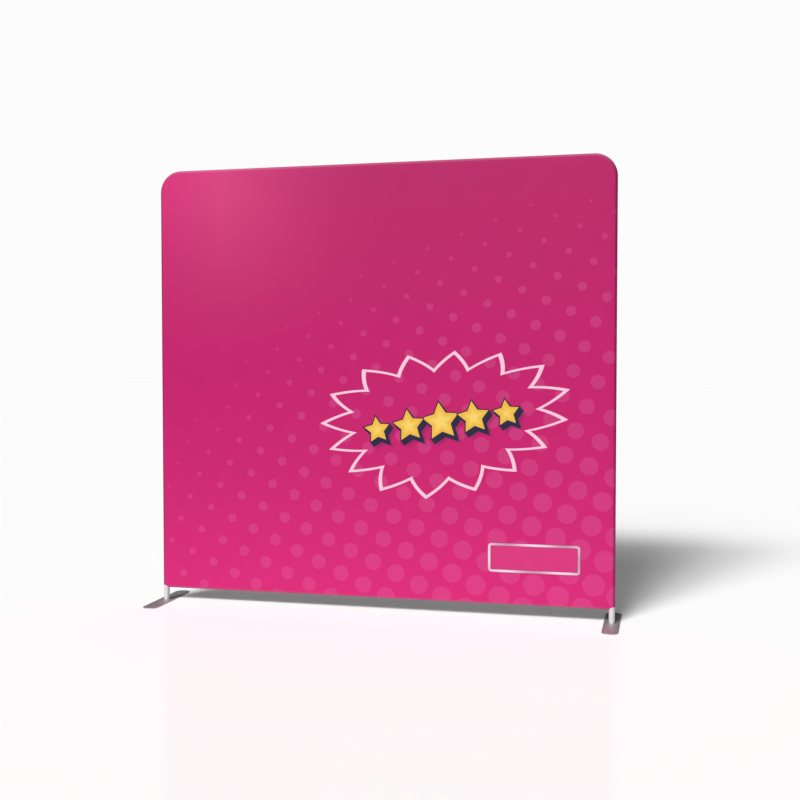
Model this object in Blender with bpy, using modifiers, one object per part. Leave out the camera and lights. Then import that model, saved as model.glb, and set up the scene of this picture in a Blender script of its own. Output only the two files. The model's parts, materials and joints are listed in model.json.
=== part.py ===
"""A straight tension fabric backdrop wall: a frame of plug-together tubes in a zipped cover, on two flat feet.

The wall runs along X and its printed front faces -Y. The origin lies on the floor under the wall's middle.
Every tube joint has a spigot and a spring button, which are modelled in the joint's own frame: Z runs along
the tube towards the sleeve that slides over the spigot, and X is the side that the button faces.
"""

import math

import bmesh
import bpy
from mathutils import Matrix, Vector

MM = 0.001

# The wall over its cover
WALL_WIDTH = 2400 * MM
WALL_HEIGHT = 2300 * MM
COVER_BOTTOM = 69.5 * MM

# Clearances
SEAT_GAP = 0.3 * MM
CUT_OVERRUN = 10 * MM

# The outer frame's tubes
TUBE_RADIUS = 15 * MM
TUBE_WALL = 1.5 * MM
TUBE_SIDES = 20
CORNER_BEND_RADIUS = 97 * MM
CORNER_STEPS = 10
TOP_JOINT_X = 400 * MM
BOTTOM_JOINT_X = 400 * MM
UPPER_JOINT_Z = 1550 * MM
LOWER_JOINT_Z = 800 * MM

# The centre pole and its saddles
POLE_RADIUS = 12.5 * MM
POLE_WALL = 1.2 * MM
POLE_LOWER_JOINT_Z = 850 * MM
POLE_UPPER_JOINT_Z = 1580 * MM
SADDLE_COLLAR = 10 * MM
SADDLE_PLUG = 30 * MM
SADDLE_CHAMFER = 1.5 * MM
SADDLE_CORE_RADIUS = 7 * MM
SADDLE_FLOOR = 6 * MM

# Spigots, and the stubs that carry the bottom rail
SPIGOT_HALF_LENGTH = 45 * MM
SPIGOT_WALL = 1.5 * MM
STUB_REACH = 80 * MM
STUB_BUTTON_REACH = 60 * MM

# Spring buttons
BUTTON_RADIUS = 3.5 * MM
BUTTON_PROUD = 2.5 * MM
BUTTON_DOME = 2 * MM
BUTTON_PLAY = 0.8 * MM
BUTTON_FROM_JOINT = 25 * MM
BUTTON_SIDES = 12
DOME_STEPS = 3
LEAF_LENGTH = 38 * MM
LEAF_WIDTH = 7 * MM
LEAF_THICKNESS = 0.6 * MM
LEAF_TAIL = 2 * MM
LEAF_GAP = 0.7 * MM
RIVET_RADIUS = 2 * MM

# Feet
FOOT_LENGTH = 468 * MM
FOOT_WIDTH = 80 * MM
FOOT_THICKNESS = 4 * MM
FOOT_CORNER_RADIUS = 39 * MM
FOOT_CORNER_STEPS = 9
FOOT_EDGE = 0.6 * MM
POST_HEIGHT = 62 * MM
POST_CHAMFER = 2 * MM
SCREW_RADIUS = 3 * MM
SCREW_HEAD_RADIUS = 6 * MM
SCREW_HEAD_RECESS = 0.4 * MM
SCREW_LENGTH = 20 * MM
SOCKET_RADIUS = 2.3 * MM
SOCKET_DEPTH = 2 * MM

# The cover
FABRIC_THICKNESS = 0.6 * MM
PANEL_LIP = 16 * MM
EXIT_MARGIN = 4 * MM
EXIT_DROP_MIDDLE = 1.5 * MM
EXIT_DROP_OUTER = 0.9 * MM

# The zip
ZIP_END_MARGIN = 28 * MM
TAPE_WIDTH = 10.5 * MM
BEAD_WIDTH = 2.6 * MM
BEAD_THICKNESS = 1.6 * MM
BEAD_CHAMFER = 0.4 * MM
STOP_THICKNESS = 3 * MM
STOP_LENGTH = 2 * MM
STOP_GAP = 0.6 * MM
ZIP_TAIL = 12 * MM
SLIDER_LENGTH = 14 * MM
SLIDER_SHOULDER = 4 * MM
SLIDER_PLATE = 1 * MM
SLIDER_FLANGE = 0.9 * MM
SLIDER_EDGE = 0.3 * MM
DIAMOND_WIDTH = 3.8 * MM
DIAMOND_PLAY = 0.45 * MM
DIAMOND_NOSE = 1 * MM
BAIL_WIDTH = 2 * MM
BAIL_THICKNESS = 1.2 * MM
BAIL_INNER_LENGTH = 4.4 * MM
BAIL_INNER_HEIGHT = 2.5 * MM
PULL_LENGTH = 28 * MM
PULL_WIDTH = 7 * MM
PULL_THICKNESS = 1.2 * MM
PULL_BAR = 1.4 * MM
PULL_ROUND = 2 * MM
PULL_ROUND_STEPS = 3

# Places that follow from the sizes above
FACET_SHARE = math.cos(math.pi / TUBE_SIDES)
SKIN_INNER = TUBE_RADIUS + SEAT_GAP
SKIN_OUTER = SKIN_INNER + FABRIC_THICKNESS
UPRIGHT_X = WALL_WIDTH / 2 - SKIN_OUTER
TOP_Z = WALL_HEIGHT - SKIN_OUTER
RAIL_Z = COVER_BOTTOM + SKIN_OUTER
UPRIGHT_FOOT_Z = FOOT_THICKNESS + SEAT_GAP
POLE_FOOT_Z = RAIL_Z + TUBE_RADIUS + SADDLE_COLLAR
POLE_HEAD_Z = TOP_Z - TUBE_RADIUS - SADDLE_COLLAR
ZIP_HALF_WIDTH = TAPE_WIDTH + BEAD_WIDTH + SEAT_GAP / 2
ZIP_Z = RAIL_Z + PANEL_LIP + SEAT_GAP + ZIP_HALF_WIDTH
ZIP_END_X = UPRIGHT_X - PANEL_LIP - ZIP_END_MARGIN
SLIDER_X = ZIP_END_X - ZIP_TAIL
ZIP_SPREAD = DIAMOND_WIDTH / 2 + DIAMOND_PLAY - SEAT_GAP / 2
CHANNEL_HALF_HEIGHT = BEAD_THICKNESS / 2 + SEAT_GAP
SLIDER_HALF_HEIGHT = CHANNEL_HALF_HEIGHT + SLIDER_PLATE
SKIN_MIDDLE = (SKIN_INNER + SKIN_OUTER) / 2

RIGHT, BACK, UP = Vector((1, 0, 0)), Vector((0, 1, 0)), Vector((0, 0, 1))
SIDES = {"left": -1, "right": 1}


def bore_radius(radius, wall):
    """A bore's radius at its corners, where the wall is measured square to the tube's flat sides."""
    return radius - wall / FACET_SHARE


SPIGOT_RADIUS = bore_radius(TUBE_RADIUS, TUBE_WALL) - SEAT_GAP
POLE_SPIGOT_RADIUS = bore_radius(POLE_RADIUS, POLE_WALL) - SEAT_GAP


def frame_at(origin, along, out):
    """A joint's frame: Z runs along the tube and X is the side that the button faces."""
    z, x = Vector(along), Vector(out)
    return Matrix.Translation(origin) @ Matrix((x, z.cross(x), z)).transposed().to_4x4()


def tube_joints():
    """Every plug joint's frame and the radius of the tube that slides over its spigot."""
    joints = {
        "pole_lower": (frame_at(POLE_LOWER_JOINT_Z * UP, UP, RIGHT), POLE_RADIUS),
        "pole_upper": (frame_at(POLE_UPPER_JOINT_Z * UP, UP, RIGHT), POLE_RADIUS),
    }
    for word, side in SIDES.items():
        outward = side * RIGHT
        upright = UPRIGHT_X * outward
        places = {
            "top": (TOP_JOINT_X * outward + TOP_Z * UP, outward, -UP),
            "upper": (upright + UPPER_JOINT_Z * UP, UP, -outward),
            "lower": (upright + LOWER_JOINT_Z * UP, UP, -outward),
            "bottom": (BOTTOM_JOINT_X * outward + RAIL_Z * UP, outward, UP),
            "rail_end": (
                upright - (STUB_BUTTON_REACH - BUTTON_FROM_JOINT) * outward + RAIL_Z * UP,
                -outward,
                UP,
            ),
        }
        for name, place in places.items():
            joints[f"{name}_{word}"] = (frame_at(*place), TUBE_RADIUS)
    return joints


JOINTS = tube_joints()


# Collections, materials and small modelling tools


def clear_scene():
    for obj in list(bpy.data.objects):
        bpy.data.objects.remove(obj, do_unlink=True)


def new_collection(name):
    collection = bpy.data.collections.new(name)
    bpy.context.scene.collection.children.link(collection)
    return collection


def new_material(name, colour, roughness, metallic=0.0):
    material = bpy.data.materials.new(name)
    material.use_nodes = True
    shader = material.node_tree.nodes["Principled BSDF"]
    shader.inputs["Base Color"].default_value = (*colour, 1)
    shader.inputs["Roughness"].default_value = roughness
    shader.inputs["Metallic"].default_value = metallic
    return material


def as_mesh(bm, name):
    mesh = bpy.data.meshes.new(name)
    bm.to_mesh(mesh)
    bm.free()
    return mesh


def new_node(name, mesh, material, place=None, parent=None):
    """A finished sub-part in the wall's collection, placed under its parent."""
    obj = bpy.data.objects.new(name, mesh)
    if not mesh.materials:
        mesh.materials.append(material)
    obj.parent = parent
    obj.matrix_basis = place or Matrix()
    WALL.objects.link(obj)
    mesh.shade_smooth()
    mesh.set_sharp_from_angle(angle=math.radians(35))
    return obj


def new_cutter(name, mesh, place=None):
    cutter = bpy.data.objects.new(name, mesh)
    cutter.matrix_basis = place or Matrix()
    cutter.hide_render = True
    cutter.display_type = "WIRE"
    CUTTERS.objects.link(cutter)
    return cutter


def new_empty(name, place):
    empty = bpy.data.objects.new(name, None)
    empty.matrix_basis = place
    WALL.objects.link(empty)
    return empty


def boolean(obj, operation, *others):
    for other in others:
        modifier = obj.modifiers.new(other.name, "BOOLEAN")
        modifier.operation = operation
        modifier.object = other


def cut(obj, *cutters):
    boolean(obj, "DIFFERENCE", *cutters)


def fuse(obj, *others):
    boolean(obj, "UNION", *others)


def wall_thickness(obj, wall):
    modifier = obj.modifiers.new("wall", "SOLIDIFY")
    modifier.thickness = wall
    modifier.offset = -1
    modifier.use_even_offset = True


def rod(low, high, radius, sides=TUBE_SIDES, caps=True):
    """A round bar along Z, or with no caps a pipe's outer surface."""
    bm = bmesh.new()
    bmesh.ops.create_cone(
        bm, cap_ends=caps, segments=sides, radius1=radius, radius2=radius, depth=high - low,
        matrix=Matrix.Translation((low + high) / 2 * UP),
    )  # fmt: skip
    return as_mesh(bm, "rod")


def block(low, high):
    """A box between two corners."""
    low, high = Vector(low), Vector(high)
    bm = bmesh.new()
    place = Matrix.Translation((low + high) / 2) @ Matrix.Diagonal(high - low).to_4x4()
    bmesh.ops.create_cube(bm, size=1, matrix=place)
    return as_mesh(bm, "block")


def prism(points, low, high):
    """A flat outline in XY, raised along Z."""
    bm = bmesh.new()
    face = bm.faces.new([bm.verts.new((x, y, low)) for x, y in points])
    raised = bmesh.ops.extrude_face_region(bm, geom=[face])["geom"]
    top = [v for v in raised if isinstance(v, bmesh.types.BMVert)]
    bmesh.ops.translate(bm, vec=(high - low) * UP, verts=top)
    bmesh.ops.recalc_face_normals(bm, faces=bm.faces)
    return as_mesh(bm, "prism")


def turned(profile, sides):
    """A mesh turned about Z from a profile of (radius, height) points, top to bottom down the outer side."""
    mesh = bpy.data.meshes.new("profile")
    mesh.from_pydata([(r, 0, z) for r, z in profile], [(i, i + 1) for i in range(len(profile) - 1)], [])
    blank = bpy.data.objects.new("profile", mesh)
    bpy.context.scene.collection.objects.link(blank)
    screw = blank.modifiers.new("turn", "SCREW")
    screw.steps = screw.render_steps = sides
    screw.use_merge_vertices = True
    screw.merge_threshold = 1e-6
    graph = bpy.context.evaluated_depsgraph_get()
    made = bpy.data.meshes.new_from_object(blank.evaluated_get(graph))
    bpy.data.objects.remove(blank, do_unlink=True)
    return made


def baked(obj):
    """Applies an object's modifiers, so that copies of it can share the finished mesh."""
    graph = bpy.context.evaluated_depsgraph_get()
    mesh = bpy.data.meshes.new_from_object(obj.evaluated_get(graph))
    bpy.data.objects.remove(obj, do_unlink=True)
    return mesh


def skin(bm, rings):
    """Lays quads between neighbouring closed rings of points."""
    for ring, after in zip(rings, rings[1:]):
        for i, point in enumerate(ring):
            bm.faces.new((ring[i - 1], point, after[i], after[i - 1]))


# Tubes


def button_hole(joint):
    """The cutter for one button's hole, through a spigot and the sleeve over it."""
    frame, radius = JOINTS[joint]
    length = radius + CUT_OVERRUN
    mesh = rod(radius / 2, length, BUTTON_RADIUS + BUTTON_PLAY, BUTTON_SIDES)
    sideways = Matrix.Rotation(math.pi / 2, 4, "Y")
    return new_cutter(f"hole_{joint}", mesh, frame @ Matrix.Translation(BUTTON_FROM_JOINT * UP) @ sideways)


def straight_tube(name, start, end, radius=TUBE_RADIUS, wall=TUBE_WALL, holes=()):
    """A tube between two points, its facets lined up with its neighbours'."""
    start, end = Vector(start), Vector(end)
    along = (end - start).normalized()
    side = RIGHT if abs(along.z) > abs(along.x) else UP
    mesh = rod(0, (end - start).length, radius, caps=False)
    tube = new_node(name, mesh, ALUMINIUM, frame_at(start, along, side))
    wall_thickness(tube, wall)
    cut(tube, *(HOLES[joint] for joint in holes))
    return tube


def corner_tube(word, side):
    """The bent tube of a top corner, swept from the foot of its leg round to its end at the top rail."""
    leg_foot = UPPER_JOINT_Z + SEAT_GAP / 2
    bend_foot = TOP_Z - CORNER_BEND_RADIUS
    bend_x = side * (UPRIGHT_X - CORNER_BEND_RADIUS)
    rail_run = UPRIGHT_X - CORNER_BEND_RADIUS - TOP_JOINT_X - SEAT_GAP / 2
    bm = bmesh.new()
    bmesh.ops.create_circle(
        bm, segments=TUBE_SIDES, radius=TUBE_RADIUS,
        matrix=Matrix.Translation((side * UPRIGHT_X, 0, leg_foot)),
    )  # fmt: skip
    end = extruded(bm, bm.edges[:], (bend_foot - leg_foot) * UP)
    spun = bmesh.ops.spin(
        bm, geom=end, cent=(bend_x, 0, bend_foot), axis=BACK,
        angle=-side * math.pi / 2, steps=CORNER_STEPS,
    )["geom_last"]  # fmt: skip
    end = [g for g in spun if isinstance(g, bmesh.types.BMEdge)]
    extruded(bm, end, -side * rail_run * RIGHT)
    bmesh.ops.recalc_face_normals(bm, faces=bm.faces)
    tube = new_node(f"corner_tube_{word}", as_mesh(bm, "corner"), ALUMINIUM)
    wall_thickness(tube, TUBE_WALL)
    cut(tube, HOLES[f"top_{word}"], HOLES[f"upper_{word}"])


def extruded(bm, edges, step):
    """Extrudes a ring of edges by a step and returns the new ring's edges."""
    made = bmesh.ops.extrude_edge_only(bm, edges=edges)["geom"]
    points = {g for g in made if isinstance(g, bmesh.types.BMVert)}
    bmesh.ops.translate(bm, vec=step, verts=list(points))
    return [g for g in made if isinstance(g, bmesh.types.BMEdge) and set(g.verts) <= points]


def lower_upright(word, side):
    """The tube that stands on a foot, with the welded stub that the bottom rail plugs over."""
    top = LOWER_JOINT_Z - SEAT_GAP / 2
    bore = bore_radius(TUBE_RADIUS, TUBE_WALL)
    place = Matrix.Translation(side * UPRIGHT_X * RIGHT)
    inward = frame_at(side * UPRIGHT_X * RIGHT + RAIL_Z * UP, -side * RIGHT, UP)
    stub = new_cutter(f"stub_{word}", rod(0, STUB_REACH, SPIGOT_RADIUS), inward)
    stub_bore = rod(TUBE_RADIUS, STUB_REACH + CUT_OVERRUN, bore_radius(SPIGOT_RADIUS, SPIGOT_WALL))
    upright = new_node(f"upright_lower_{word}", rod(UPRIGHT_FOOT_Z, top, TUBE_RADIUS), ALUMINIUM, place)
    fuse(upright, stub)
    cut(
        upright,
        new_cutter(f"upright_bore_{word}", rod(0, top + CUT_OVERRUN, bore), place),
        new_cutter(f"stub_bore_{word}", stub_bore, inward),
        HOLES[f"rail_end_{word}"],
    )


def add_tubes():
    half_gap = SEAT_GAP / 2
    top_end, rail_end = TOP_JOINT_X - half_gap, BOTTOM_JOINT_X - half_gap
    straight_tube("top_rail", (-top_end, 0, TOP_Z), (top_end, 0, TOP_Z))
    straight_tube("bottom_rail_middle", (-rail_end, 0, RAIL_Z), (rail_end, 0, RAIL_Z))
    for word, side in SIDES.items():
        corner_tube(word, side)
        lower_upright(word, side)
        x = side * UPRIGHT_X
        straight_tube(
            f"upright_middle_{word}",
            (x, 0, LOWER_JOINT_Z + half_gap),
            (x, 0, UPPER_JOINT_Z - half_gap),
            holes=[f"lower_{word}"],
        )
        straight_tube(
            f"bottom_rail_{word}",
            (side * (BOTTOM_JOINT_X + half_gap), 0, RAIL_Z),
            (side * (UPRIGHT_X - TUBE_RADIUS - SEAT_GAP), 0, RAIL_Z),
            holes=[f"bottom_{word}", f"rail_end_{word}"],
        )


def add_centre_pole():
    half_gap = SEAT_GAP / 2
    joints = (POLE_LOWER_JOINT_Z, POLE_UPPER_JOINT_Z)
    feet = (POLE_FOOT_Z + SEAT_GAP, *(z + half_gap for z in joints))
    heads = (*(z - half_gap for z in joints), POLE_HEAD_Z - SEAT_GAP)
    holes = ([], ["pole_lower"], ["pole_upper"])
    for word, foot, head, hole in zip(("lower", "middle", "upper"), feet, heads, holes):
        straight_tube(f"centre_pole_{word}", foot * UP, head * UP, POLE_RADIUS, POLE_WALL, hole)


def add_saddles():
    """Moulded plugs in the centre pole's ends, hollowed to sit across the rails."""
    plug_radius = bore_radius(POLE_RADIUS, POLE_WALL) - SEAT_GAP
    reach = SADDLE_COLLAR + TUBE_RADIUS
    profile = [
        (0, SADDLE_FLOOR - SADDLE_COLLAR),
        (SADDLE_CORE_RADIUS, SADDLE_FLOOR - SADDLE_COLLAR),
        (SADDLE_CORE_RADIUS, SADDLE_PLUG),
        (plug_radius - SADDLE_CHAMFER, SADDLE_PLUG),
        (plug_radius, SADDLE_PLUG - SADDLE_CHAMFER),
        (plug_radius, 0),
        (POLE_RADIUS, 0),
        (POLE_RADIUS, -reach),
        (0, -reach),
    ]
    half_width = POLE_RADIUS + CUT_OVERRUN
    for word, z, rail_z, along in (("lower", POLE_FOOT_Z, RAIL_Z, UP), ("upper", POLE_HEAD_Z, TOP_Z, -UP)):
        saddle = new_node(f"saddle_{word}", turned(profile, TUBE_SIDES), NYLON, frame_at(z * UP, along, RIGHT))
        seat = rod(-half_width, half_width, TUBE_RADIUS + SEAT_GAP)
        cut(saddle, new_cutter(f"saddle_seat_{word}", seat, frame_at(rail_z * UP, RIGHT, UP)))


# Plug joints


def add_spigots():
    """Pressed into one tube of each joint and free in the other. The rail ends' stubs are on the uprights."""
    for joint, (frame, radius) in JOINTS.items():
        if joint.startswith("rail_end"):
            continue
        outer = SPIGOT_RADIUS if radius == TUBE_RADIUS else POLE_SPIGOT_RADIUS
        mesh = rod(-SPIGOT_HALF_LENGTH, SPIGOT_HALF_LENGTH, outer, caps=False)
        spigot = new_node(f"spigot_{joint}", mesh, STEEL, frame)
        wall_thickness(spigot, SPIGOT_WALL)
        cut(spigot, HOLES[joint])


def leaf_height(bore):
    """How far a leaf's outer face lies from the tube's axis, clear of the round bore at its edges."""
    return math.sqrt((bore * FACET_SHARE - LEAF_GAP) ** 2 - (LEAF_WIDTH / 2) ** 2)


def button_mesh(bore, tube_radius):
    """A leaf spring with its button and rivet. Its origin is where the leaf bends, at the rivet."""
    face = LEAF_THICKNESS / 2
    middle = leaf_height(bore) - face
    top = tube_radius + BUTTON_PROUD - middle
    rivet_top = math.sqrt((bore * FACET_SHARE - SEAT_GAP) ** 2 - RIVET_RADIUS**2) - middle
    tip = LEAF_LENGTH + BUTTON_RADIUS
    leaf = new_cutter("leaf", block((-face, -LEAF_WIDTH / 2, -LEAF_TAIL), (face, LEAF_WIDTH / 2, tip)))
    dome = [
        (BUTTON_RADIUS * math.sin(turn), top - BUTTON_DOME * (1 - math.cos(turn)))
        for turn in (i * math.pi / 2 / DOME_STEPS for i in range(DOME_STEPS + 1))
    ]
    outward = Matrix.Rotation(math.pi / 2, 4, "Y")
    stud = turned([*dome, (BUTTON_RADIUS, 0), (0, 0)], BUTTON_SIDES)
    rivet = rod(0, rivet_top, RIVET_RADIUS, BUTTON_SIDES)
    others = [
        new_cutter("stud", stud, Matrix.Translation(LEAF_LENGTH * UP) @ outward),
        new_cutter("rivet", rivet, outward),
    ]
    fuse(leaf, *others)
    mesh = baked(leaf)
    for other in others:
        bpy.data.objects.remove(other, do_unlink=True)
    mesh.materials.clear()
    return mesh


def add_buttons():
    meshes = {
        TUBE_RADIUS: bore_radius(SPIGOT_RADIUS, SPIGOT_WALL),
        POLE_RADIUS: bore_radius(POLE_SPIGOT_RADIUS, SPIGOT_WALL),
    }
    heights = {radius: leaf_height(bore) - LEAF_THICKNESS / 2 for radius, bore in meshes.items()}
    meshes = {radius: button_mesh(bore, radius) for radius, bore in meshes.items()}
    for joint, (frame, radius) in JOINTS.items():
        rivet = Matrix.Translation((heights[radius], 0, BUTTON_FROM_JOINT - LEAF_LENGTH))
        new_node(f"button_{joint}", meshes[radius], SPRING_STEEL, frame @ rivet)


# Feet


def foot_plate_mesh():
    bm = bmesh.new()
    size = Vector((FOOT_WIDTH, FOOT_LENGTH, FOOT_THICKNESS))
    place = Matrix.Translation(FOOT_THICKNESS / 2 * UP) @ Matrix.Diagonal(size).to_4x4()
    bmesh.ops.create_cube(bm, size=1, matrix=place)
    upright = [e for e in bm.edges if e.verts[0].co.xy == e.verts[1].co.xy]
    bmesh.ops.bevel(
        bm, geom=upright, offset=FOOT_CORNER_RADIUS, segments=FOOT_CORNER_STEPS, profile=0.5, affect="EDGES"
    )
    rims = [e for e in bm.edges if e.verts[0].co.z == e.verts[1].co.z]
    bmesh.ops.bevel(bm, geom=rims, offset=FOOT_EDGE, segments=1, profile=0.5, affect="EDGES")
    return as_mesh(bm, "foot_plate")


def head_cone(play):
    """A countersunk head's profile, from its shank's top end down to its face, with room all round it."""
    radius, face = SCREW_RADIUS + play, SCREW_HEAD_RADIUS + play
    bottom = SCREW_HEAD_RECESS
    return [(radius, bottom + SCREW_HEAD_RADIUS - SCREW_RADIUS), (face, bottom)]


def add_foot(word, side):
    """A flat plate with a screwed post that plugs into its upright and can turn there."""
    axis = new_empty(f"foot_axis_{word}", Matrix.Translation(side * UPRIGHT_X * RIGHT))
    plate = new_node(f"foot_plate_{word}", foot_plate_mesh(), FOOT_METAL, parent=axis)
    shank_top = SCREW_HEAD_RECESS + SCREW_LENGTH
    hole_radius = SCREW_RADIUS + SEAT_GAP
    sink = turned(
        [
            (0, shank_top + SEAT_GAP),
            (hole_radius, shank_top + SEAT_GAP),
            *head_cone(SEAT_GAP),
            (SCREW_HEAD_RADIUS + SEAT_GAP, -CUT_OVERRUN),
            (0, -CUT_OVERRUN),
        ],
        TUBE_SIDES,
    )
    hole = new_cutter(f"screw_hole_{word}", sink, Matrix.Translation(side * UPRIGHT_X * RIGHT))
    cut(plate, hole)

    foot = FOOT_THICKNESS + SEAT_GAP
    post_mesh = turned(
        [
            (0, POST_HEIGHT),
            (SPIGOT_RADIUS - POST_CHAMFER, POST_HEIGHT),
            (SPIGOT_RADIUS, POST_HEIGHT - POST_CHAMFER),
            (SPIGOT_RADIUS, foot),
            (0, foot),
        ],
        TUBE_SIDES,
    )
    post = new_node(f"foot_post_{word}", post_mesh, STEEL, parent=axis)
    cut(post, hole)

    screw_mesh = turned(
        [(0, shank_top), (SCREW_RADIUS, shank_top), *head_cone(0), (0, SCREW_HEAD_RECESS)], TUBE_SIDES
    )
    screw = new_node(f"foot_screw_{word}", screw_mesh, STEEL, parent=axis)
    socket = rod(-CUT_OVERRUN, SCREW_HEAD_RECESS + SOCKET_DEPTH, SOCKET_RADIUS, 6)
    cut(screw, new_cutter(f"socket_{word}", socket, Matrix.Translation(side * UPRIGHT_X * RIGHT)))


# The cover


def frame_outline():
    """The tubes' centre line round the frame: each point, and how it moves for a step outwards."""
    centre_x, centre_z = UPRIGHT_X - CORNER_BEND_RADIUS, TOP_Z - CORNER_BEND_RADIUS
    points = [((-UPRIGHT_X, RAIL_Z), (-1, -1)), ((UPRIGHT_X, RAIL_Z), (1, -1))]
    for quarter, side in enumerate((1, -1)):
        for step in range(CORNER_STEPS + 1):
            turn = (quarter + step / CORNER_STEPS) * math.pi / 2
            way = (math.cos(turn), math.sin(turn))
            point = (side * centre_x + CORNER_BEND_RADIUS * way[0], centre_z + CORNER_BEND_RADIUS * way[1])
            points.append((point, way))
    return points


def outline_at(offset):
    return [(x + offset * dx, z + offset * dz) for (x, z), (dx, dz) in frame_outline()]


def rim_profile():
    """The front panel's section from its flat front round the tube to its lip, and back along its inside."""
    turns = [i * math.pi / (TUBE_SIDES // 2) for i in range(TUBE_SIDES // 2 + 1)]
    outer = [(SKIN_OUTER * math.sin(t), -SKIN_OUTER * math.cos(t)) for t in turns]
    inner = [(SKIN_INNER * math.sin(t), -SKIN_INNER * math.cos(t)) for t in turns]
    return [*outer, (-PANEL_LIP, SKIN_OUTER), (-PANEL_LIP, SKIN_INNER), *reversed(inner)]


def pole_exit(word, side):
    """The cutter of the slanting gap that a pole leaves the cover's bottom corner by."""
    inner = UPRIGHT_X - TUBE_RADIUS - EXIT_MARGIN
    outer = WALL_WIDTH / 2 + CUT_OVERRUN
    below = COVER_BOTTOM - CUT_OVERRUN
    points = [
        (side * inner, below),
        (side * inner, COVER_BOTTOM),
        (side * UPRIGHT_X, RAIL_Z - EXIT_DROP_MIDDLE),
        (side * WALL_WIDTH / 2, RAIL_Z - EXIT_DROP_OUTER),
        (side * outer, RAIL_Z - EXIT_DROP_OUTER),
        (side * outer, below),
    ]
    depth = SKIN_OUTER + CUT_OVERRUN
    standing = Matrix.Rotation(math.pi / 2, 4, "X")
    return new_cutter(f"pole_exit_{word}", prism(points, -depth, depth), standing)


def add_front_panel():
    """The printed sheet, flat in front and drawn round the outer tubes to a short lip behind."""
    bm = bmesh.new()
    rings = [[bm.verts.new((x, y, z)) for x, z in outline_at(offset)] for offset, y in rim_profile()]
    skin(bm, rings)
    bm.faces.new(rings[0])
    bm.faces.new(rings[-1])
    bmesh.ops.recalc_face_normals(bm, faces=bm.faces)
    panel = new_node("front_panel", as_mesh(bm, "front_panel"), PRINTED_FABRIC)
    cut(panel, *(pole_exit(word, side) for word, side in SIDES.items()))


def add_back_panel():
    """The plain sheet inside the front panel's lip, with a notch along its foot for the zip."""
    outline = outline_at(-PANEL_LIP - SEAT_GAP)
    notch_x, notch_z = ZIP_END_X + SEAT_GAP, ZIP_Z + ZIP_HALF_WIDTH + SEAT_GAP
    foot_z = outline[0][1]
    notch = [(-notch_x, foot_z), (-notch_x, notch_z), (notch_x, notch_z), (notch_x, foot_z)]
    standing = Matrix.Rotation(math.pi / 2, 4, "X")
    mesh = prism([outline[0], *notch, *outline[1:]], -SKIN_OUTER, -SKIN_INNER)
    new_node("back_panel", mesh, PLAIN_FABRIC, standing)


# The zip


def tape_section(spread, thickness):
    """One zip half's section as (depth, height from the chain's middle): flat tape with a bead along its edge."""
    edge = SEAT_GAP / 2 + spread
    root = edge + BEAD_WIDTH
    inner, outer = SKIN_MIDDLE - thickness / 2, SKIN_MIDDLE + thickness / 2
    return [
        (SKIN_OUTER, ZIP_HALF_WIDTH),
        (SKIN_OUTER, root),
        (outer, root - BEAD_CHAMFER),
        (outer, edge + BEAD_CHAMFER),
        (outer - BEAD_CHAMFER, edge),
        (inner + BEAD_CHAMFER, edge),
        (inner, edge + BEAD_CHAMFER),
        (inner, root - BEAD_CHAMFER),
        (SKIN_INNER, root),
        (SKIN_INNER, ZIP_HALF_WIDTH),
    ]


def tape_stations():
    """Where a zip half's section changes along X: place, spread from the chain's middle, bead thickness."""
    last = ZIP_END_X - STOP_LENGTH
    shoulder = SLIDER_X + SLIDER_SHOULDER
    return [
        (-ZIP_END_X, 0, STOP_THICKNESS),
        (-last, 0, STOP_THICKNESS),
        (-last + STOP_GAP, 0, BEAD_THICKNESS),
        (SLIDER_X, 0, BEAD_THICKNESS),
        (shoulder, ZIP_SPREAD, BEAD_THICKNESS),
        (last - STOP_GAP, ZIP_SPREAD, BEAD_THICKNESS),
        (last, ZIP_SPREAD, STOP_THICKNESS),
        (ZIP_END_X, ZIP_SPREAD, STOP_THICKNESS),
    ]


def add_zip_tapes():
    for word, way in (("lower", -1), ("upper", 1)):
        bm = bmesh.new()
        rings = [
            [bm.verts.new((x, y, way * height)) for y, height in tape_section(spread, thickness)]
            for x, spread, thickness in tape_stations()
        ]
        skin(bm, rings)
        bm.faces.new(rings[0])
        bm.faces.new(rings[-1])
        bmesh.ops.recalc_face_normals(bm, faces=bm.faces)
        new_node(f"zip_tape_{word}", as_mesh(bm, "zip_tape"), TAPE, Matrix.Translation(ZIP_Z * UP))


def slider_outline(margin, end):
    """The slider's plan with its sides moved in by a margin and its ends moved out: narrow behind, wide in front."""
    rear = SEAT_GAP / 2 + BEAD_WIDTH + SEAT_GAP + SLIDER_FLANGE - margin
    front = rear + ZIP_SPREAD
    half = SLIDER_LENGTH / 2 + end
    side = [(half, rear), (0, rear), (-SLIDER_SHOULDER, front), (-half, front)]
    return side + [(x, -y) for x, y in reversed(side)]


def diamond_outline():
    """The wedge that parts the chain's halves."""
    half = DIAMOND_WIDTH / 2
    front = SLIDER_LENGTH / 2
    return [(-DIAMOND_NOSE, 0), (-SLIDER_SHOULDER, half), (-front, half), (-front, -half), (-SLIDER_SHOULDER, -half)]


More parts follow.
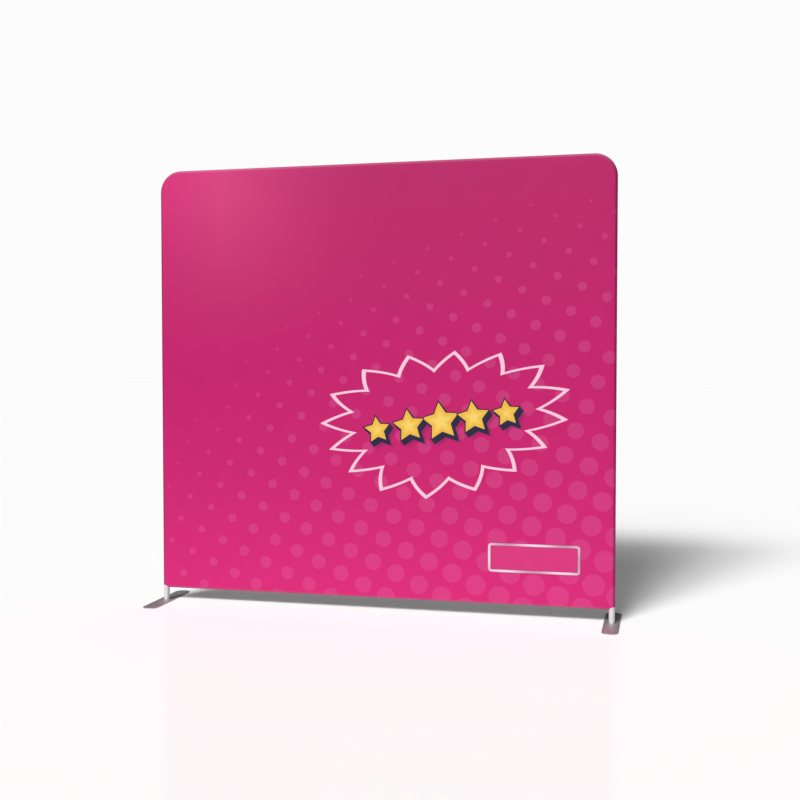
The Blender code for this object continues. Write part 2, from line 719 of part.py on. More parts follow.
def slider_mesh():
    """Two plates on one wedge, with flanges that leave a slot for the tapes, and a bail over the outer plate."""
    channel = CHANNEL_HALF_HEIGHT
    top = SLIDER_HALF_HEIGHT
    width = SLIDER_LENGTH
    slot = FABRIC_THICKNESS / 2 + SEAT_GAP
    plates = new_cutter("plates", prism(slider_outline(0, 0), -top, top))
    rounding = plates.modifiers.new("edges", "BEVEL")
    rounding.width = SLIDER_EDGE
    rounding.segments = 1
    bail_half = BAIL_INNER_LENGTH / 2 + BAIL_THICKNESS
    bail_low, bail_high = top - SLIDER_PLATE / 2, top + BAIL_INNER_HEIGHT + BAIL_THICKNESS
    half_bail = BAIL_WIDTH / 2
    bail = new_cutter("bail", block((-bail_half, -half_bail, bail_low), (bail_half, half_bail, bail_high)))
    corners = bail.modifiers.new("corners", "BEVEL")
    corners.width = SLIDER_EDGE
    corners.segments = 1
    eye = block(
        (-BAIL_INNER_LENGTH / 2, -BAIL_WIDTH, top), (BAIL_INNER_LENGTH / 2, BAIL_WIDTH, top + BAIL_INNER_HEIGHT)
    )
    cutters = [
        new_cutter("channel", prism(slider_outline(SLIDER_FLANGE, CUT_OVERRUN), -channel, channel)),
        new_cutter("slot", block((-width, -width, -slot), (width, width, slot))),
    ]
    wedge = new_cutter("wedge", prism(diamond_outline(), -channel - SLIDER_PLATE / 2, channel + SLIDER_PLATE / 2))
    bail_eye = new_cutter("bail_eye", eye)
    cut(plates, *cutters)
    fuse(plates, wedge, bail)
    cut(plates, bail_eye)
    mesh = baked(plates)
    for other in (*cutters, wedge, bail, bail_eye):
        bpy.data.objects.remove(other, do_unlink=True)
    mesh.materials.clear()
    return mesh


def pull_mesh():
    """A flat tab with an eye round the bail's leg. Its origin is the middle of its cross bar."""
    half_bar, half_width, half_thick = PULL_BAR / 2, PULL_WIDTH / 2, PULL_THICKNESS / 2
    quarter = [i * math.pi / 2 / PULL_ROUND_STEPS for i in range(PULL_ROUND_STEPS + 1)]
    end = PULL_LENGTH - PULL_ROUND
    inset = half_width - PULL_ROUND
    corner = [(end + PULL_ROUND * math.cos(t), inset + PULL_ROUND * math.sin(t)) for t in quarter]
    side = [*corner, (-half_bar, half_width)]
    outline = side + [(x, -y) for x, y in reversed(side)]
    tab = new_cutter("tab", prism(outline, -half_thick, half_thick))
    eye_end = BAIL_INNER_LENGTH / 2 + BAIL_THICKNESS + 2 * SEAT_GAP
    eye_half = BAIL_WIDTH / 2 + SEAT_GAP
    eye = new_cutter("eye", block((half_bar, -eye_half, -PULL_THICKNESS), (eye_end, eye_half, PULL_THICKNESS)))
    cut(tab, eye)
    mesh = baked(tab)
    bpy.data.objects.remove(eye, do_unlink=True)
    mesh.materials.clear()
    return mesh


def add_slider():
    """The slider, parked at the closed end, and its pull, which lies back over the chain."""
    middle = Vector((SLIDER_X, SKIN_MIDDLE, ZIP_Z))
    towards_chain = Matrix((-RIGHT, UP, BACK)).transposed().to_4x4()
    slider = new_node("zip_slider", slider_mesh(), ZIP_METAL, Matrix.Translation(middle) @ towards_chain)
    hinge_height = SLIDER_HALF_HEIGHT + BAIL_INNER_HEIGHT / 2
    new_node("zip_pull", pull_mesh(), ZIP_METAL, Matrix.Translation(hinge_height * UP), slider)


clear_scene()
WALL = new_collection("backdrop_wall")
CUTTERS = new_collection("cutters")
ALUMINIUM = new_material("satin_aluminium", (0.72, 0.70, 0.71), 0.35, 0.9)
STEEL = new_material("zinc_steel", (0.55, 0.56, 0.58), 0.35, 1.0)
SPRING_STEEL = new_material("spring_steel", (0.45, 0.46, 0.48), 0.3, 1.0)
FOOT_METAL = new_material("foot_steel", (0.48, 0.46, 0.47), 0.3, 0.9)
NYLON = new_material("black_nylon", (0.03, 0.03, 0.03), 0.5)
PRINTED_FABRIC = new_material("printed_fabric", (0.62, 0.03, 0.17), 0.75)
PLAIN_FABRIC = new_material("plain_fabric", (0.85, 0.85, 0.86), 0.8)
TAPE = new_material("zip_tape", (0.8, 0.8, 0.8), 0.7)
ZIP_METAL = new_material("zip_metal", (0.6, 0.6, 0.62), 0.3, 1.0)

HOLES = {joint: button_hole(joint) for joint in JOINTS}
add_tubes()
add_centre_pole()
add_saddles()
add_spigots()
add_buttons()
for foot_word, foot_side in SIDES.items():
    add_foot(foot_word, foot_side)
add_front_panel()
add_back_panel()
add_zip_tapes()
add_slider()
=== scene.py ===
# %% [markdown]
# # A printed backdrop wall
#
# The real thing is a tube frame in a stretch fabric cover, on two flat steel feet. The frame, the feet, the spring
# buttons and the zip's slider arrive as finished solids, which keep their shapes and get materials here.
# The cover is cloth, which a solid shows badly, so this lesson sews it anew: a printed front, a white back,
# a zip with all its coils, hems, seams and stitches. After that come the print, the metals, the room and the light.

# %% Load the frame
import json
import math

import bmesh
import bpy
from mathutils import Matrix, Vector, noise

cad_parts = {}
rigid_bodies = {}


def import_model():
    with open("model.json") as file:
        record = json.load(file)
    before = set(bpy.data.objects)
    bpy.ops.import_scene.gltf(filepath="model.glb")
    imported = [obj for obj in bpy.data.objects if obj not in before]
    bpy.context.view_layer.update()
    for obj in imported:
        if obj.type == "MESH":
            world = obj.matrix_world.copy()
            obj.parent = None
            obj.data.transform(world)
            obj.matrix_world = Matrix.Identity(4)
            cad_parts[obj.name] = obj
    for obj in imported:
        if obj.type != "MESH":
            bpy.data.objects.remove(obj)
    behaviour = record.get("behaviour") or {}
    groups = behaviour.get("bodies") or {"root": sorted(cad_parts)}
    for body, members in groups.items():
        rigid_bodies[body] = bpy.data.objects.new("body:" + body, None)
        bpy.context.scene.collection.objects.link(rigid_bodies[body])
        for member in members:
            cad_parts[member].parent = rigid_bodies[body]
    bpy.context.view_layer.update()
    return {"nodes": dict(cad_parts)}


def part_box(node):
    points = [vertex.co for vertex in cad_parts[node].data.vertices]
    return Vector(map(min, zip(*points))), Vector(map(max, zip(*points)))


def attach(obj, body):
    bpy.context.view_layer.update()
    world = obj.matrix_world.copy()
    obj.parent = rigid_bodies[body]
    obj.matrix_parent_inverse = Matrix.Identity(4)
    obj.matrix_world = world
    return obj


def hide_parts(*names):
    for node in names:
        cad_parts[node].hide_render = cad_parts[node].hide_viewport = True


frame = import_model()
nodes = frame["nodes"]
MM = 0.001

# %% [markdown]
# ## The camera
#
# The camera comes first, because every later choice is judged through it. Its place was worked out from the
# panel's four corners, for a 50 mm lens. A rotation can be given as three Euler angles, but here it is
# built from three turns in the order that a photographer makes them: turn, tilt, and level the horizon.

# %% Set up the camera
CAMERA_PLACE = (1.444, -5.5131, 1.2889)
CAMERA_TURN, CAMERA_TILT, CAMERA_ROLL = math.radians(13.567), math.radians(88.009), math.radians(-0.011)
LENS_LENGTH, SENSOR_WIDTH = 50, 36

bpy.ops.object.camera_add(location=CAMERA_PLACE)
camera = bpy.context.object
camera.name = "photo_camera"
camera.rotation_euler = (
    Matrix.Rotation(CAMERA_TURN, 3, "Z") @ Matrix.Rotation(CAMERA_TILT, 3, "X") @ Matrix.Rotation(CAMERA_ROLL, 3, "Z")
).to_euler()
camera.data.lens = LENS_LENGTH
camera.data.sensor_width = SENSOR_WIDTH
bpy.context.scene.camera = camera
print("camera", round(camera.location.length, 2), "m from the wall's foot")

# %% [markdown]
# ## Tools for modelling by hand
#
# In edit mode an operator acts on whatever is selected, so each step below is the same: pick faces, edges or
# points by where they are, then extrude, inset, bevel or cut. `pick` does the picking. It asks a question
# of every element and selects those that answer yes. What no operator can do, such as lifting each point by a
# height of its own, is left to `move_points`.

# %% Small helpers for edit mode
def select_only(obj):
    """Selects one object and nothing else, and makes it the one that operators act on."""
    bpy.ops.object.select_all(action="DESELECT")
    bpy.context.view_layer.objects.active = obj
    obj.select_set(True)


def open_mesh(obj):
    """Opens an object in edit mode with nothing selected."""
    select_only(obj)
    bpy.ops.object.mode_set(mode="EDIT")
    bpy.ops.mesh.select_all(action="DESELECT")


def close_mesh():
    bpy.ops.object.mode_set(mode="OBJECT")
    bpy.ops.object.select_all(action="DESELECT")


def pick(kind, test):
    """Selects those of the open mesh's VERTs, EDGEs or FACEs that pass a test, and returns how many there are."""
    bpy.ops.mesh.select_mode(type=kind)
    bpy.ops.mesh.select_all(action="DESELECT")
    mesh = bpy.context.object.data
    bm = bmesh.from_edit_mesh(mesh)
    found = [e for e in {"VERT": bm.verts, "EDGE": bm.edges, "FACE": bm.faces}[kind] if test(e)]
    for element in found:
        element.select_set(True)
    bm.select_flush_mode()
    bmesh.update_edit_mesh(mesh)
    return len(found)


def move_points(move, only_selected=False):
    """Moves every point of the open mesh, or every selected one, by what move says of its place."""
    mesh = bpy.context.object.data
    bm = bmesh.from_edit_mesh(mesh)
    for v in bm.verts:
        if v.select or not only_selected:
            v.co += move(v.co)
    bmesh.update_edit_mesh(mesh)


def extrude_edges(test, move):
    """Extrudes the picked edges of the open mesh and moves each new point by what move says of it."""
    pick("EDGE", test)
    bpy.ops.mesh.extrude_edges_indiv()
    move_points(move, only_selected=True)


def bevel(width, segments=3):
    """Rounds the selected edges."""
    bpy.ops.mesh.bevel(offset=width, segments=segments, profile=0.5, affect="EDGES")


# %% Find places and make objects
def place_of(element):
    """The middle of a face or an edge."""
    if isinstance(element, bmesh.types.BMFace):
        return element.calc_center_median()
    return (element.verts[0].co + element.verts[1].co) / 2


def cut_across(axis, places, test=lambda face: True):
    """Cuts the faces that pass a test by planes square to an axis, without removing anything."""
    normal = {"X": (1, 0, 0), "Y": (0, 1, 0), "Z": (0, 0, 1)}[axis]
    for place in places:
        pick("FACE", test)
        bpy.ops.mesh.bisect(plane_co=place * Vector(normal), plane_no=normal)


def named(name):
    """Gives the object that an operator has just made its own name."""
    obj = bpy.context.object
    obj.name = obj.data.name = name
    return obj


def split_off(name):
    """Separates what is selected from the open mesh, closes that, and gives the new object its own name."""
    source = bpy.context.object
    bpy.ops.mesh.separate(type="SELECTED")
    close_mesh()
    part = next(o for o in bpy.data.objects if o.name.startswith(source.name + "."))
    part.name = part.data.name = name
    return part


def fix_place(obj):
    """Puts an object's place, turn and scale into its mesh, so that the object itself sits at the origin."""
    select_only(obj)
    bpy.ops.object.transform_apply(location=True, rotation=True, scale=True)
    return obj


def add_box(name, low, high):
    low, high = Vector(low), Vector(high)
    bpy.ops.mesh.primitive_cube_add(size=1, location=(low + high) / 2)
    box = named(name)
    box.scale = high - low
    return fix_place(box)


def apply_modifiers(obj):
    bpy.context.view_layer.objects.active = obj
    for modifier in list(obj.modifiers):
        bpy.ops.object.modifier_apply(modifier=modifier.name)


def smooth(obj, angle=40):
    """Shades an object smooth, apart from its edges that are sharper than an angle in degrees."""
    select_only(obj)
    bpy.ops.object.shade_smooth_by_angle(angle=math.radians(angle))


def limited(share):
    """A share, held between 0 and 1."""
    return min(1, max(0, share))


print("helpers for", bpy.app.version_string)

# %% [markdown]
# ## The cover as one block
#
# A tension cover is drawn over the tubes like a pillow case, so its outside is a flat block with round edges.
# It could be lofted from rings of points. Bevels are quicker: one pair rounds the two top corners to the
# tubes' bend, and a second rounds the rim all the way round the tube.

# %% Block out the cover
TUBE_RADIUS = 15 * MM
CLOTH = 0.6 * MM
BEND_RADIUS = 97 * MM
BEND_SEGMENTS, RIM_SEGMENTS = 16, 8
# The rim's two bevels stop just short of each other, because they would spoil one another where they met.
NEARLY = 0.996

low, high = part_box("front_panel")
RIM = high.y
TUBE_X, RAIL_Z, TOP_Z = high.x - RIM, low.z + RIM, high.z - RIM

front = add_box("printed_front", low, high)
open_mesh(front)
pick("EDGE", lambda e: abs(place_of(e).y) < MM and place_of(e).z > high.z - MM)
bevel(BEND_RADIUS + RIM, BEND_SEGMENTS)
pick("EDGE", lambda e: abs(place_of(e).y) > RIM - MM)
bevel(NEARLY * RIM, RIM_SEGMENTS)
bpy.ops.mesh.select_all(action="SELECT")
bpy.ops.mesh.remove_doubles(threshold=0.2 * MM)
print("block:", len(bmesh.from_edit_mesh(front.data).faces), "faces")

# %% [markdown]
# ## Front and back part company
#
# The print goes round the tubes and ends in a lip behind them, where the plain back is sewn on. An inset
# of the back's flat face draws that seam, because an inset keeps the corners' curves at the right radius.
# The inner face is then separated, and is the white back panel.

# %% Cut out the back panel
LIP = 16 * MM


def is_small(f):
    """Whether a face isn't one of the two whole panels, which have about 5 square metres each."""
    return f.calc_area() < 1


def faces_front(f):
    return f.normal.y < -0.99


def faces_back(f):
    return f.normal.y > 0.99


pick("FACE", lambda f: faces_back(f) and not is_small(f))
bpy.ops.mesh.inset(thickness=LIP, use_even_offset=True)
back = split_off("plain_back")
print("back panel:", [round(x, 3) for x in back.dimensions])

# %% [markdown]
# ## Room for the poles
#
# At its two lower corners the cover is open, and the poles come out through a slanting gap. Two cuts
# follow the slant without removing anything, and the faces below both are then deleted. A boolean would
# need a closed solid, and cloth isn't one yet. Straight cuts beside the corner keep the slanting ones short.

# %% Open the corners for the poles
EXIT_MARGIN, EXIT_DROP_MIDDLE, EXIT_DROP_OUTER = 4 * MM, 1.5 * MM, 0.9 * MM
EXIT = [
    (TUBE_X - TUBE_RADIUS - EXIT_MARGIN, low.z),
    (TUBE_X, RAIL_Z - EXIT_DROP_MIDDLE),
    (high.x, RAIL_Z - EXIT_DROP_OUTER),
]
STRETCHES = [(*start, *end) for start, end in zip(EXIT, EXIT[1:])]
# The straight cuts beside each corner, and the height under which the rim's faces are cut
CORNER_X, CORNER_Z, LOW_PART = EXIT[0][0] - 6 * MM, RAIL_Z + 14 * MM, 0.2


def below_exit(x, z):
    """Whether a place is under both stretches of the exit's edge."""
    return x > EXIT[0][0] and all(z < z0 + (z1 - z0) * (x - x0) / (x1 - x0) for x0, z0, x1, z1 in STRETCHES)


def in_corner(f, side):
    return side * place_of(f).x > CORNER_X and place_of(f).z < CORNER_Z and is_small(f)


open_mesh(front)
cut_across("X", (-CORNER_X, CORNER_X), lambda f: place_of(f).z < LOW_PART and is_small(f))
cut_across("Z", (CORNER_Z,), lambda f: abs(place_of(f).x) > CORNER_X and is_small(f))
for side in (-1, 1):
    for x0, z0, x1, z1 in STRETCHES:
        pick("FACE", lambda f: in_corner(f, side))
        slant = Vector((side * (z0 - z1), 0, x1 - x0)).normalized()
        bpy.ops.mesh.bisect(plane_co=(side * x0, 0, z0), plane_no=slant)
gone = pick("FACE", lambda f: below_exit(abs(place_of(f).x), place_of(f).z))
bpy.ops.mesh.delete(type="FACE")
print("exits:", gone, "faces taken out")
close_mesh()

# %% [markdown]
# ## Enough points to bend
#
# Cloth needs points wherever it may pucker. The rim's long faces are cut into short ones with a subdivide of
# their long edges, which runs along the whole strip at once. The flat front gets a coarser grid of straight cuts,
# because only long, shallow waves cross it.

# %% Divide the rim and the front
RIM_STEP, FIELD_STEP = 12 * MM, 40 * MM


def spread_evenly(start, end, step):
    """Places between two ends, about a step apart, without the ends."""
    count = round((end - start) / step)
    return [start + (end - start) * i / count for i in range(1, count)]


def divide_long_edges(step, shortest=0.5):
    """Divides every long straight edge along X or Z of the open mesh."""
    for across in (2, 0):

        def is_long(e):
            start, end = (v.co for v in e.verts)
            return e.calc_length() > shortest and abs(start[across] - end[across]) < MM and abs(start.y - end.y) < MM

        edges = bmesh.from_edit_mesh(bpy.context.object.data).edges
        for length in {round(e.calc_length(), 2) for e in edges if is_long(e)}:
            if pick("EDGE", lambda e: is_long(e) and round(e.calc_length(), 2) == length):
                bpy.ops.mesh.subdivide(number_cuts=round(length / step))


open_mesh(front)
divide_long_edges(RIM_STEP)
cut_across("X", spread_evenly(-TUBE_X, TUBE_X, FIELD_STEP), faces_front)
cut_across("Z", spread_evenly(RAIL_Z, TOP_Z, FIELD_STEP), faces_front)
print("front:", len(bmesh.from_edit_mesh(front.data).faces), "faces")
close_mesh()

# %% [markdown]
# ## The opening for the zip
#
# The zip closes the cover low on the back, between the lip and the white panel. The panel is cut out round it.
# The cuts at 8 and 17 mm from the opening's edge are for the hem, which is a double layer and so stands a
# cloth's thickness higher. The rest of the panel gets a grid like the front's, but finer. First the whole panel
# is drawn in by a hair, so that it doesn't share its edge with the lip that it is sewn to.

# %% Cut the zip's opening into the back
HEM_REACH = 9.5 * MM
HEM_FLAT, HEM_SLOPE = 8 * MM, 17 * MM
BACK_STEP = 18 * MM
HAIR = 0.3 * MM

zip_low, zip_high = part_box("zip_tape_lower")[0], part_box("zip_tape_upper")[1]
ZIP_Z, ZIP_END = (zip_low.z + zip_high.z) / 2, zip_high.x
OPENING_X, OPENING_TOP = ZIP_END + HAIR, ZIP_Z + HEM_REACH


def in_opening(f):
    return abs(place_of(f).x) < OPENING_X and place_of(f).z < OPENING_TOP


open_mesh(back)
pick("FACE", lambda f: True)
bpy.ops.mesh.inset(thickness=HAIR, use_even_offset=True)
pick("FACE", is_small)
bpy.ops.mesh.delete(type="FACE")
cut_across("Z", [OPENING_TOP + d for d in (0, HEM_FLAT, HEM_SLOPE)])
cut_across("X", [side * (OPENING_X + d) for side in (-1, 1) for d in (0, HEM_FLAT, HEM_SLOPE)])
cut_across("X", spread_evenly(-OPENING_X, OPENING_X, BACK_STEP))
cut_across("Z", spread_evenly(OPENING_TOP + HEM_SLOPE, TOP_Z, BACK_STEP))
pick("FACE", in_opening)
bpy.ops.mesh.delete(type="FACE")
bpy.ops.mesh.select_all(action="SELECT")
bpy.ops.mesh.remove_doubles(threshold=0.5 * MM)
print("back:", len(bmesh.from_edit_mesh(back.data).faces), "faces")

# %% [markdown]
# ## Hems and seam allowances
#
# An edge of cloth is never just cut off. Round the zip it is folded under, and where front and back are sewn
# together both turn inwards, face to face. Both are extrudes of the sheet's edge, followed by moves of the new
# points. A small bevel then rounds every fold, because cloth has no sharp ones.

# %% Fold the back panel's edges
ALLOWANCE = 6 * MM
FOLD_DEPTH, FOLD_RADIUS = 1.25 * MM, 0.5 * MM
SEAM_BOTTOM = RAIL_Z + LIP
NEAR = MM / 10


def fold_line(x, z):
    """How far a place lies outside the zip's opening, and which way is outwards."""
    dx, dz = abs(x) - OPENING_X, z - OPENING_TOP
    outwards = Vector((math.copysign(dx > -NEAR, x), 0, dz > -NEAR))
    return max(dx, dz), outwards


def hem_rise(distance):
    """How far the cloth stands up over a hem's double layer: in full up to its flat width, then ever less."""
    return CLOTH * limited((HEM_SLOPE - distance) / (HEM_SLOPE - HEM_FLAT))


def round_folds():
    """Bevels every edge where the cloth turns sharply."""
    bpy.ops.mesh.select_mode(type="EDGE")
    bpy.ops.mesh.select_all(action="DESELECT")
    bpy.ops.mesh.edges_select_sharp(sharpness=math.radians(60))
    bevel(FOLD_RADIUS)


def on_opening(e):
    return e.is_boundary and abs(fold_line(place_of(e).x, place_of(e).z)[0]) < NEAR


move_points(lambda co: Vector((0, hem_rise(fold_line(co.x, co.z)[0]), 0)))
extrude_edges(lambda e: e.is_boundary and not on_opening(e), lambda co: Vector((0, -ALLOWANCE, 0)))
extrude_edges(on_opening, lambda co: Vector((0, -FOLD_DEPTH, 0)))
extrude_edges(
    lambda e: on_opening(e) and place_of(e).y > RIM + CLOTH - FOLD_DEPTH - 2 * NEAR,
    lambda co: HEM_FLAT * fold_line(co.x, co.z)[1],
)
round_folds()
print("folded back:", len(bmesh.from_edit_mesh(back.data).faces), "faces")
close_mesh()

# %% [markdown]
# The printed cover's edge is treated the same way. Below the zip its lip reaches up to the chain and is hemmed.
# Everywhere else it is the other half of the seam.

# %% Fold the printed cover's edges
LIP_TOP = ZIP_Z - HEM_REACH
LIP_RAISE = (RAIL_Z + 3 * MM, LIP_TOP - HEM_FLAT)


def on_low_lip(f):
    return faces_back(f) and place_of(f).z < SEAM_BOTTOM + MM


def lip_rise(co):
    """How far the low lip's doubled hem lifts a point of the cover."""
    if co.y < RIM - MM / 100 or co.z > SEAM_BOTTOM + HEM_FLAT:
        return 0
    return limited((co.z - LIP_RAISE[0]) / (LIP_RAISE[1] - LIP_RAISE[0])) * hem_rise(abs(co.x) - ZIP_END)


def beside_seam(e):
    """Whether an open edge is to be sewn to the back, rather than to the zip."""
    place = place_of(e)
    return e.is_boundary and place.z > SEAM_BOTTOM - NEAR and (abs(place.x) > ZIP_END + NEAR or place.z > LIP_TOP + MM)


def along_zip(e, z):
    """Whether an open edge runs beside the zip at a height."""
    return e.is_boundary and abs(place_of(e).z - z) < NEAR and abs(place_of(e).x) < ZIP_END


open_mesh(front)
cut_across("X", [side * (ZIP_END + d) for side in (-1, 1) for d in (0, HEM_FLAT, HEM_SLOPE)], on_low_lip)
cut_across("Z", LIP_RAISE, on_low_lip)
extrude_edges(lambda e: along_zip(e, SEAM_BOTTOM), lambda co: Vector((0, 0, LIP_TOP - SEAM_BOTTOM)))
move_points(lambda co: Vector((0, lip_rise(co), 0)))
extrude_edges(beside_seam, lambda co: Vector((0, -ALLOWANCE, 0)))
extrude_edges(lambda e: along_zip(e, LIP_TOP), lambda co: Vector((0, -FOLD_DEPTH, 0)))
extrude_edges(
    lambda e: along_zip(e, LIP_TOP) and place_of(e).y < RIM + CLOTH - FOLD_DEPTH + NEAR,
    lambda co: Vector((0, 0, -HEM_FLAT)),
)
round_folds()
print("folded front:", len(bmesh.from_edit_mesh(front.data).faces), "faces")
close_mesh()

# %% [markdown]
# ## Puckers
#
# A sewn edge is never quite flat. The thread gathers the cloth a little, so small ripples stand square to the
# seam and die out within a hand's breadth. Where a flat cloth goes round a bend it has cloth to spare, and the
# ripples fan out. The cloth here is under tension, so both stay under a millimetre. A cloth simulation would
# find them too, but on a panel of 2.4 m it needs far too many points for ripples of this size.

# %% Ripple the cloth
SEAM_X, SEAM_TOP = TUBE_X - LIP, TOP_Z - LIP
BEND_CENTRE = (TUBE_X - BEND_RADIUS, TOP_Z - BEND_RADIUS)
RIPPLE_ALONG, RIPPLE_ACROSS, RIPPLE_SHARP, FAN_OUT = 0.038, 0.3, 1.6, 0.8
BACK_RIPPLE, BACK_REACH = 0.5 * MM, 35 * MM
LIP_RIPPLE, LIP_REACH = 0.22 * MM, 8 * MM
WAVES_X, WAVES_Z, STILL_EDGE = 2.2, 1.3, 0.25
FRONT_WAVE, BACK_WAVE = 0.8 * MM, 1.2 * MM
ZIP_CALM = 0.06
FRONT_SEED, LIP_SEED, BACK_SEED, WAVE_SEED = 3.1, 5.3, 8.7, 1.9
BEND_START, TOP_START, BOTTOM_START, BEND_STRETCH = 2.2, 5, 9, 3


def seam_place(x, z):
    """Distance from the line where front and back are sewn, and how far along that line.

    The second number starts elsewhere on each side, so that no two sides ripple alike.
    """
    ax = abs(x)
    bend = BEND_RADIUS - LIP
    dx, dz = ax - BEND_CENTRE[0], z - BEND_CENTRE[1]
    if dx > 0 and dz > 0:
        along = BEND_START + BEND_STRETCH * bend * math.atan2(dz, dx)
        return abs(bend - math.hypot(dx, dz)), math.copysign(along, x)
    top, bottom = (abs(SEAM_TOP - z), TOP_START + x), (abs(z - SEAM_BOTTOM), BOTTOM_START + x)
    return min((abs(SEAM_X - ax), math.copysign(z, x)), top, bottom)


def ripple(along, across, seed):
    """Uneven ripples square to a seam, from -1 to 1, that change slowly away from it."""
    return RIPPLE_SHARP * noise.noise(Vector((along / RIPPLE_ALONG, across / RIPPLE_ACROSS, seed)))


def gather(co, height, reach, seed):
    """The ripples that a seam leaves in the cloth, nearly twice as high round the bends."""
    distance, along = seam_place(co.x, co.z)
    fan = 1 + FAN_OUT * (co.z > BEND_CENTRE[1] and abs(co.x) > BEND_CENTRE[0])
    return height * fan * ripple(along, distance, seed) * math.exp(-distance / reach)


def slack(co, height, seed):
    """Long shallow waves across a stretched panel, none at its edges."""
    edge = min(TUBE_X - abs(co.x), TOP_Z - co.z, co.z - RAIL_Z)
    return height * limited(edge / STILL_EDGE) * noise.noise(Vector((co.x * WAVES_X, co.z * WAVES_Z, seed)))


def on_lip(co):
    """Whether a point of the cover is on its lip beside the seam, and not at the zip."""
    near_seam = seam_place(co.x, co.z)[0] < LIP + MM and abs(co.x) < SEAM_X + LIP
    return co.y > 0 and near_seam and co.z > SEAM_BOTTOM + HEM_SLOPE


for v in front.data.vertices:
    if v.co.y < MM - RIM:
        v.co.y += slack(v.co, FRONT_WAVE, FRONT_SEED)
    elif on_lip(v.co):
        v.co.y += gather(v.co, LIP_RIPPLE, LIP_REACH, LIP_SEED)
for v in back.data.vertices:
    calm = limited(fold_line(v.co.x, v.co.z)[0] / ZIP_CALM)
    v.co.y += calm * (gather(v.co, BACK_RIPPLE, BACK_REACH, BACK_SEED) + slack(v.co, BACK_WAVE, WAVE_SEED))
for cloth in (front, back):
    cloth.data.update()
    print(cloth.name, "is now", round(cloth.dimensions.y / MM, 2), "mm deep")

# %% [markdown]
# ## The hem at the poles
#
# Where a pole comes out, the cover's edge is rolled over a thread. The exit's edge is copied out of the sheet
# and made a curve, which has a round section of its own. It lies a little deeper than the edge, clear of the tube.
# Which way is deeper is read from each point's normal, the mean of the faces round it. Asking for the nearest
# face instead would give either of two neighbours by chance, and another hem each time.

# %% Roll the hem at the poles
HEM_SINK, HEM_RADIUS = 0.15 * MM, 0.65 * MM

open_mesh(front)
pick("EDGE", lambda e: e.is_boundary and place_of(e).z < RAIL_Z)
outwards = {v.co.to_tuple(): v.normal.copy() for v in bmesh.from_edit_mesh(front.data).verts if v.select}
bpy.ops.mesh.duplicate()
exit_hem = split_off("exit_hem")
for v in exit_hem.data.vertices:
    v.co -= HEM_SINK * outwards[v.co.to_tuple()]
select_only(exit_hem)
bpy.ops.object.convert(target="CURVE")
exit_hem.data.bevel_depth = HEM_RADIUS
exit_hem.data.bevel_resolution = 2
bpy.ops.object.convert(target="MESH")
exit_hem = named("exit_hem")
smooth(exit_hem, 80)
print("exit hems:", len(exit_hem.data.polygons), "faces")

# %% [markdown]
# A polyester tension fabric is about half a millimetre thick. Solidify gives both sheets that thickness,
# inwards, so that the outside stays where it is. The printed sheet's inside gets a material slot of its own,
# because the ink doesn't reach it.

# %% Give the cloth its thickness
for cloth in (front, back):
    thickness = cloth.modifiers.new("thickness", "SOLIDIFY")
    thickness.thickness = CLOTH
    thickness.offset = -1
    thickness.use_even_offset = True
    thickness.thickness_clamp = 1
    thickness.use_rim = True
    if cloth == front:
        cloth.data.materials.append(None)
        cloth.data.materials.append(None)
        thickness.material_offset = 1
    apply_modifiers(cloth)
    smooth(cloth, 50)
    print(cloth.name, len(cloth.data.polygons), "faces")

# %% [markdown]
# ## The zip's tapes
#
# Each tape is a woven band that is sewn under a hem, and steps up beside the hem so that its coil stands level
# with the cloth. A plane that is as long as the zip is extruded sideways three times, and each new row is
# pushed to its depth. At the closed end the slider holds the two tapes apart, and the tapes follow.

# %% Weave the zip's tapes
SLIDER_X = (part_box("zip_slider")[0].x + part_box("zip_slider")[1].x) / 2
# Each row of the tape's section: how far it is from the zip's middle line, and how far back, in mm
TAPE_ROWS = [(0.5, 15.3), (6.2, 15.3), (7.4, 15.0), (17.2, 15.0)]
TAPE_THICKNESS, TAPE_STEP, SPREAD_STEP = 0.4 * MM, 24 * MM, 1.5 * MM
SPREAD, SPREAD_LENGTH = 2.35 * MM, 4 * MM
SPREAD_IN_FULL, SPREAD_GONE = 6.2 * MM, 17 * MM


def spread_at(x, height):
    """How far the slider pushes the tape away from the zip's middle line."""
    return (
        SPREAD
        * limited((x - SLIDER_X) / SPREAD_LENGTH)
        * limited((SPREAD_GONE - height) / (SPREAD_GONE - SPREAD_IN_FULL))
    )


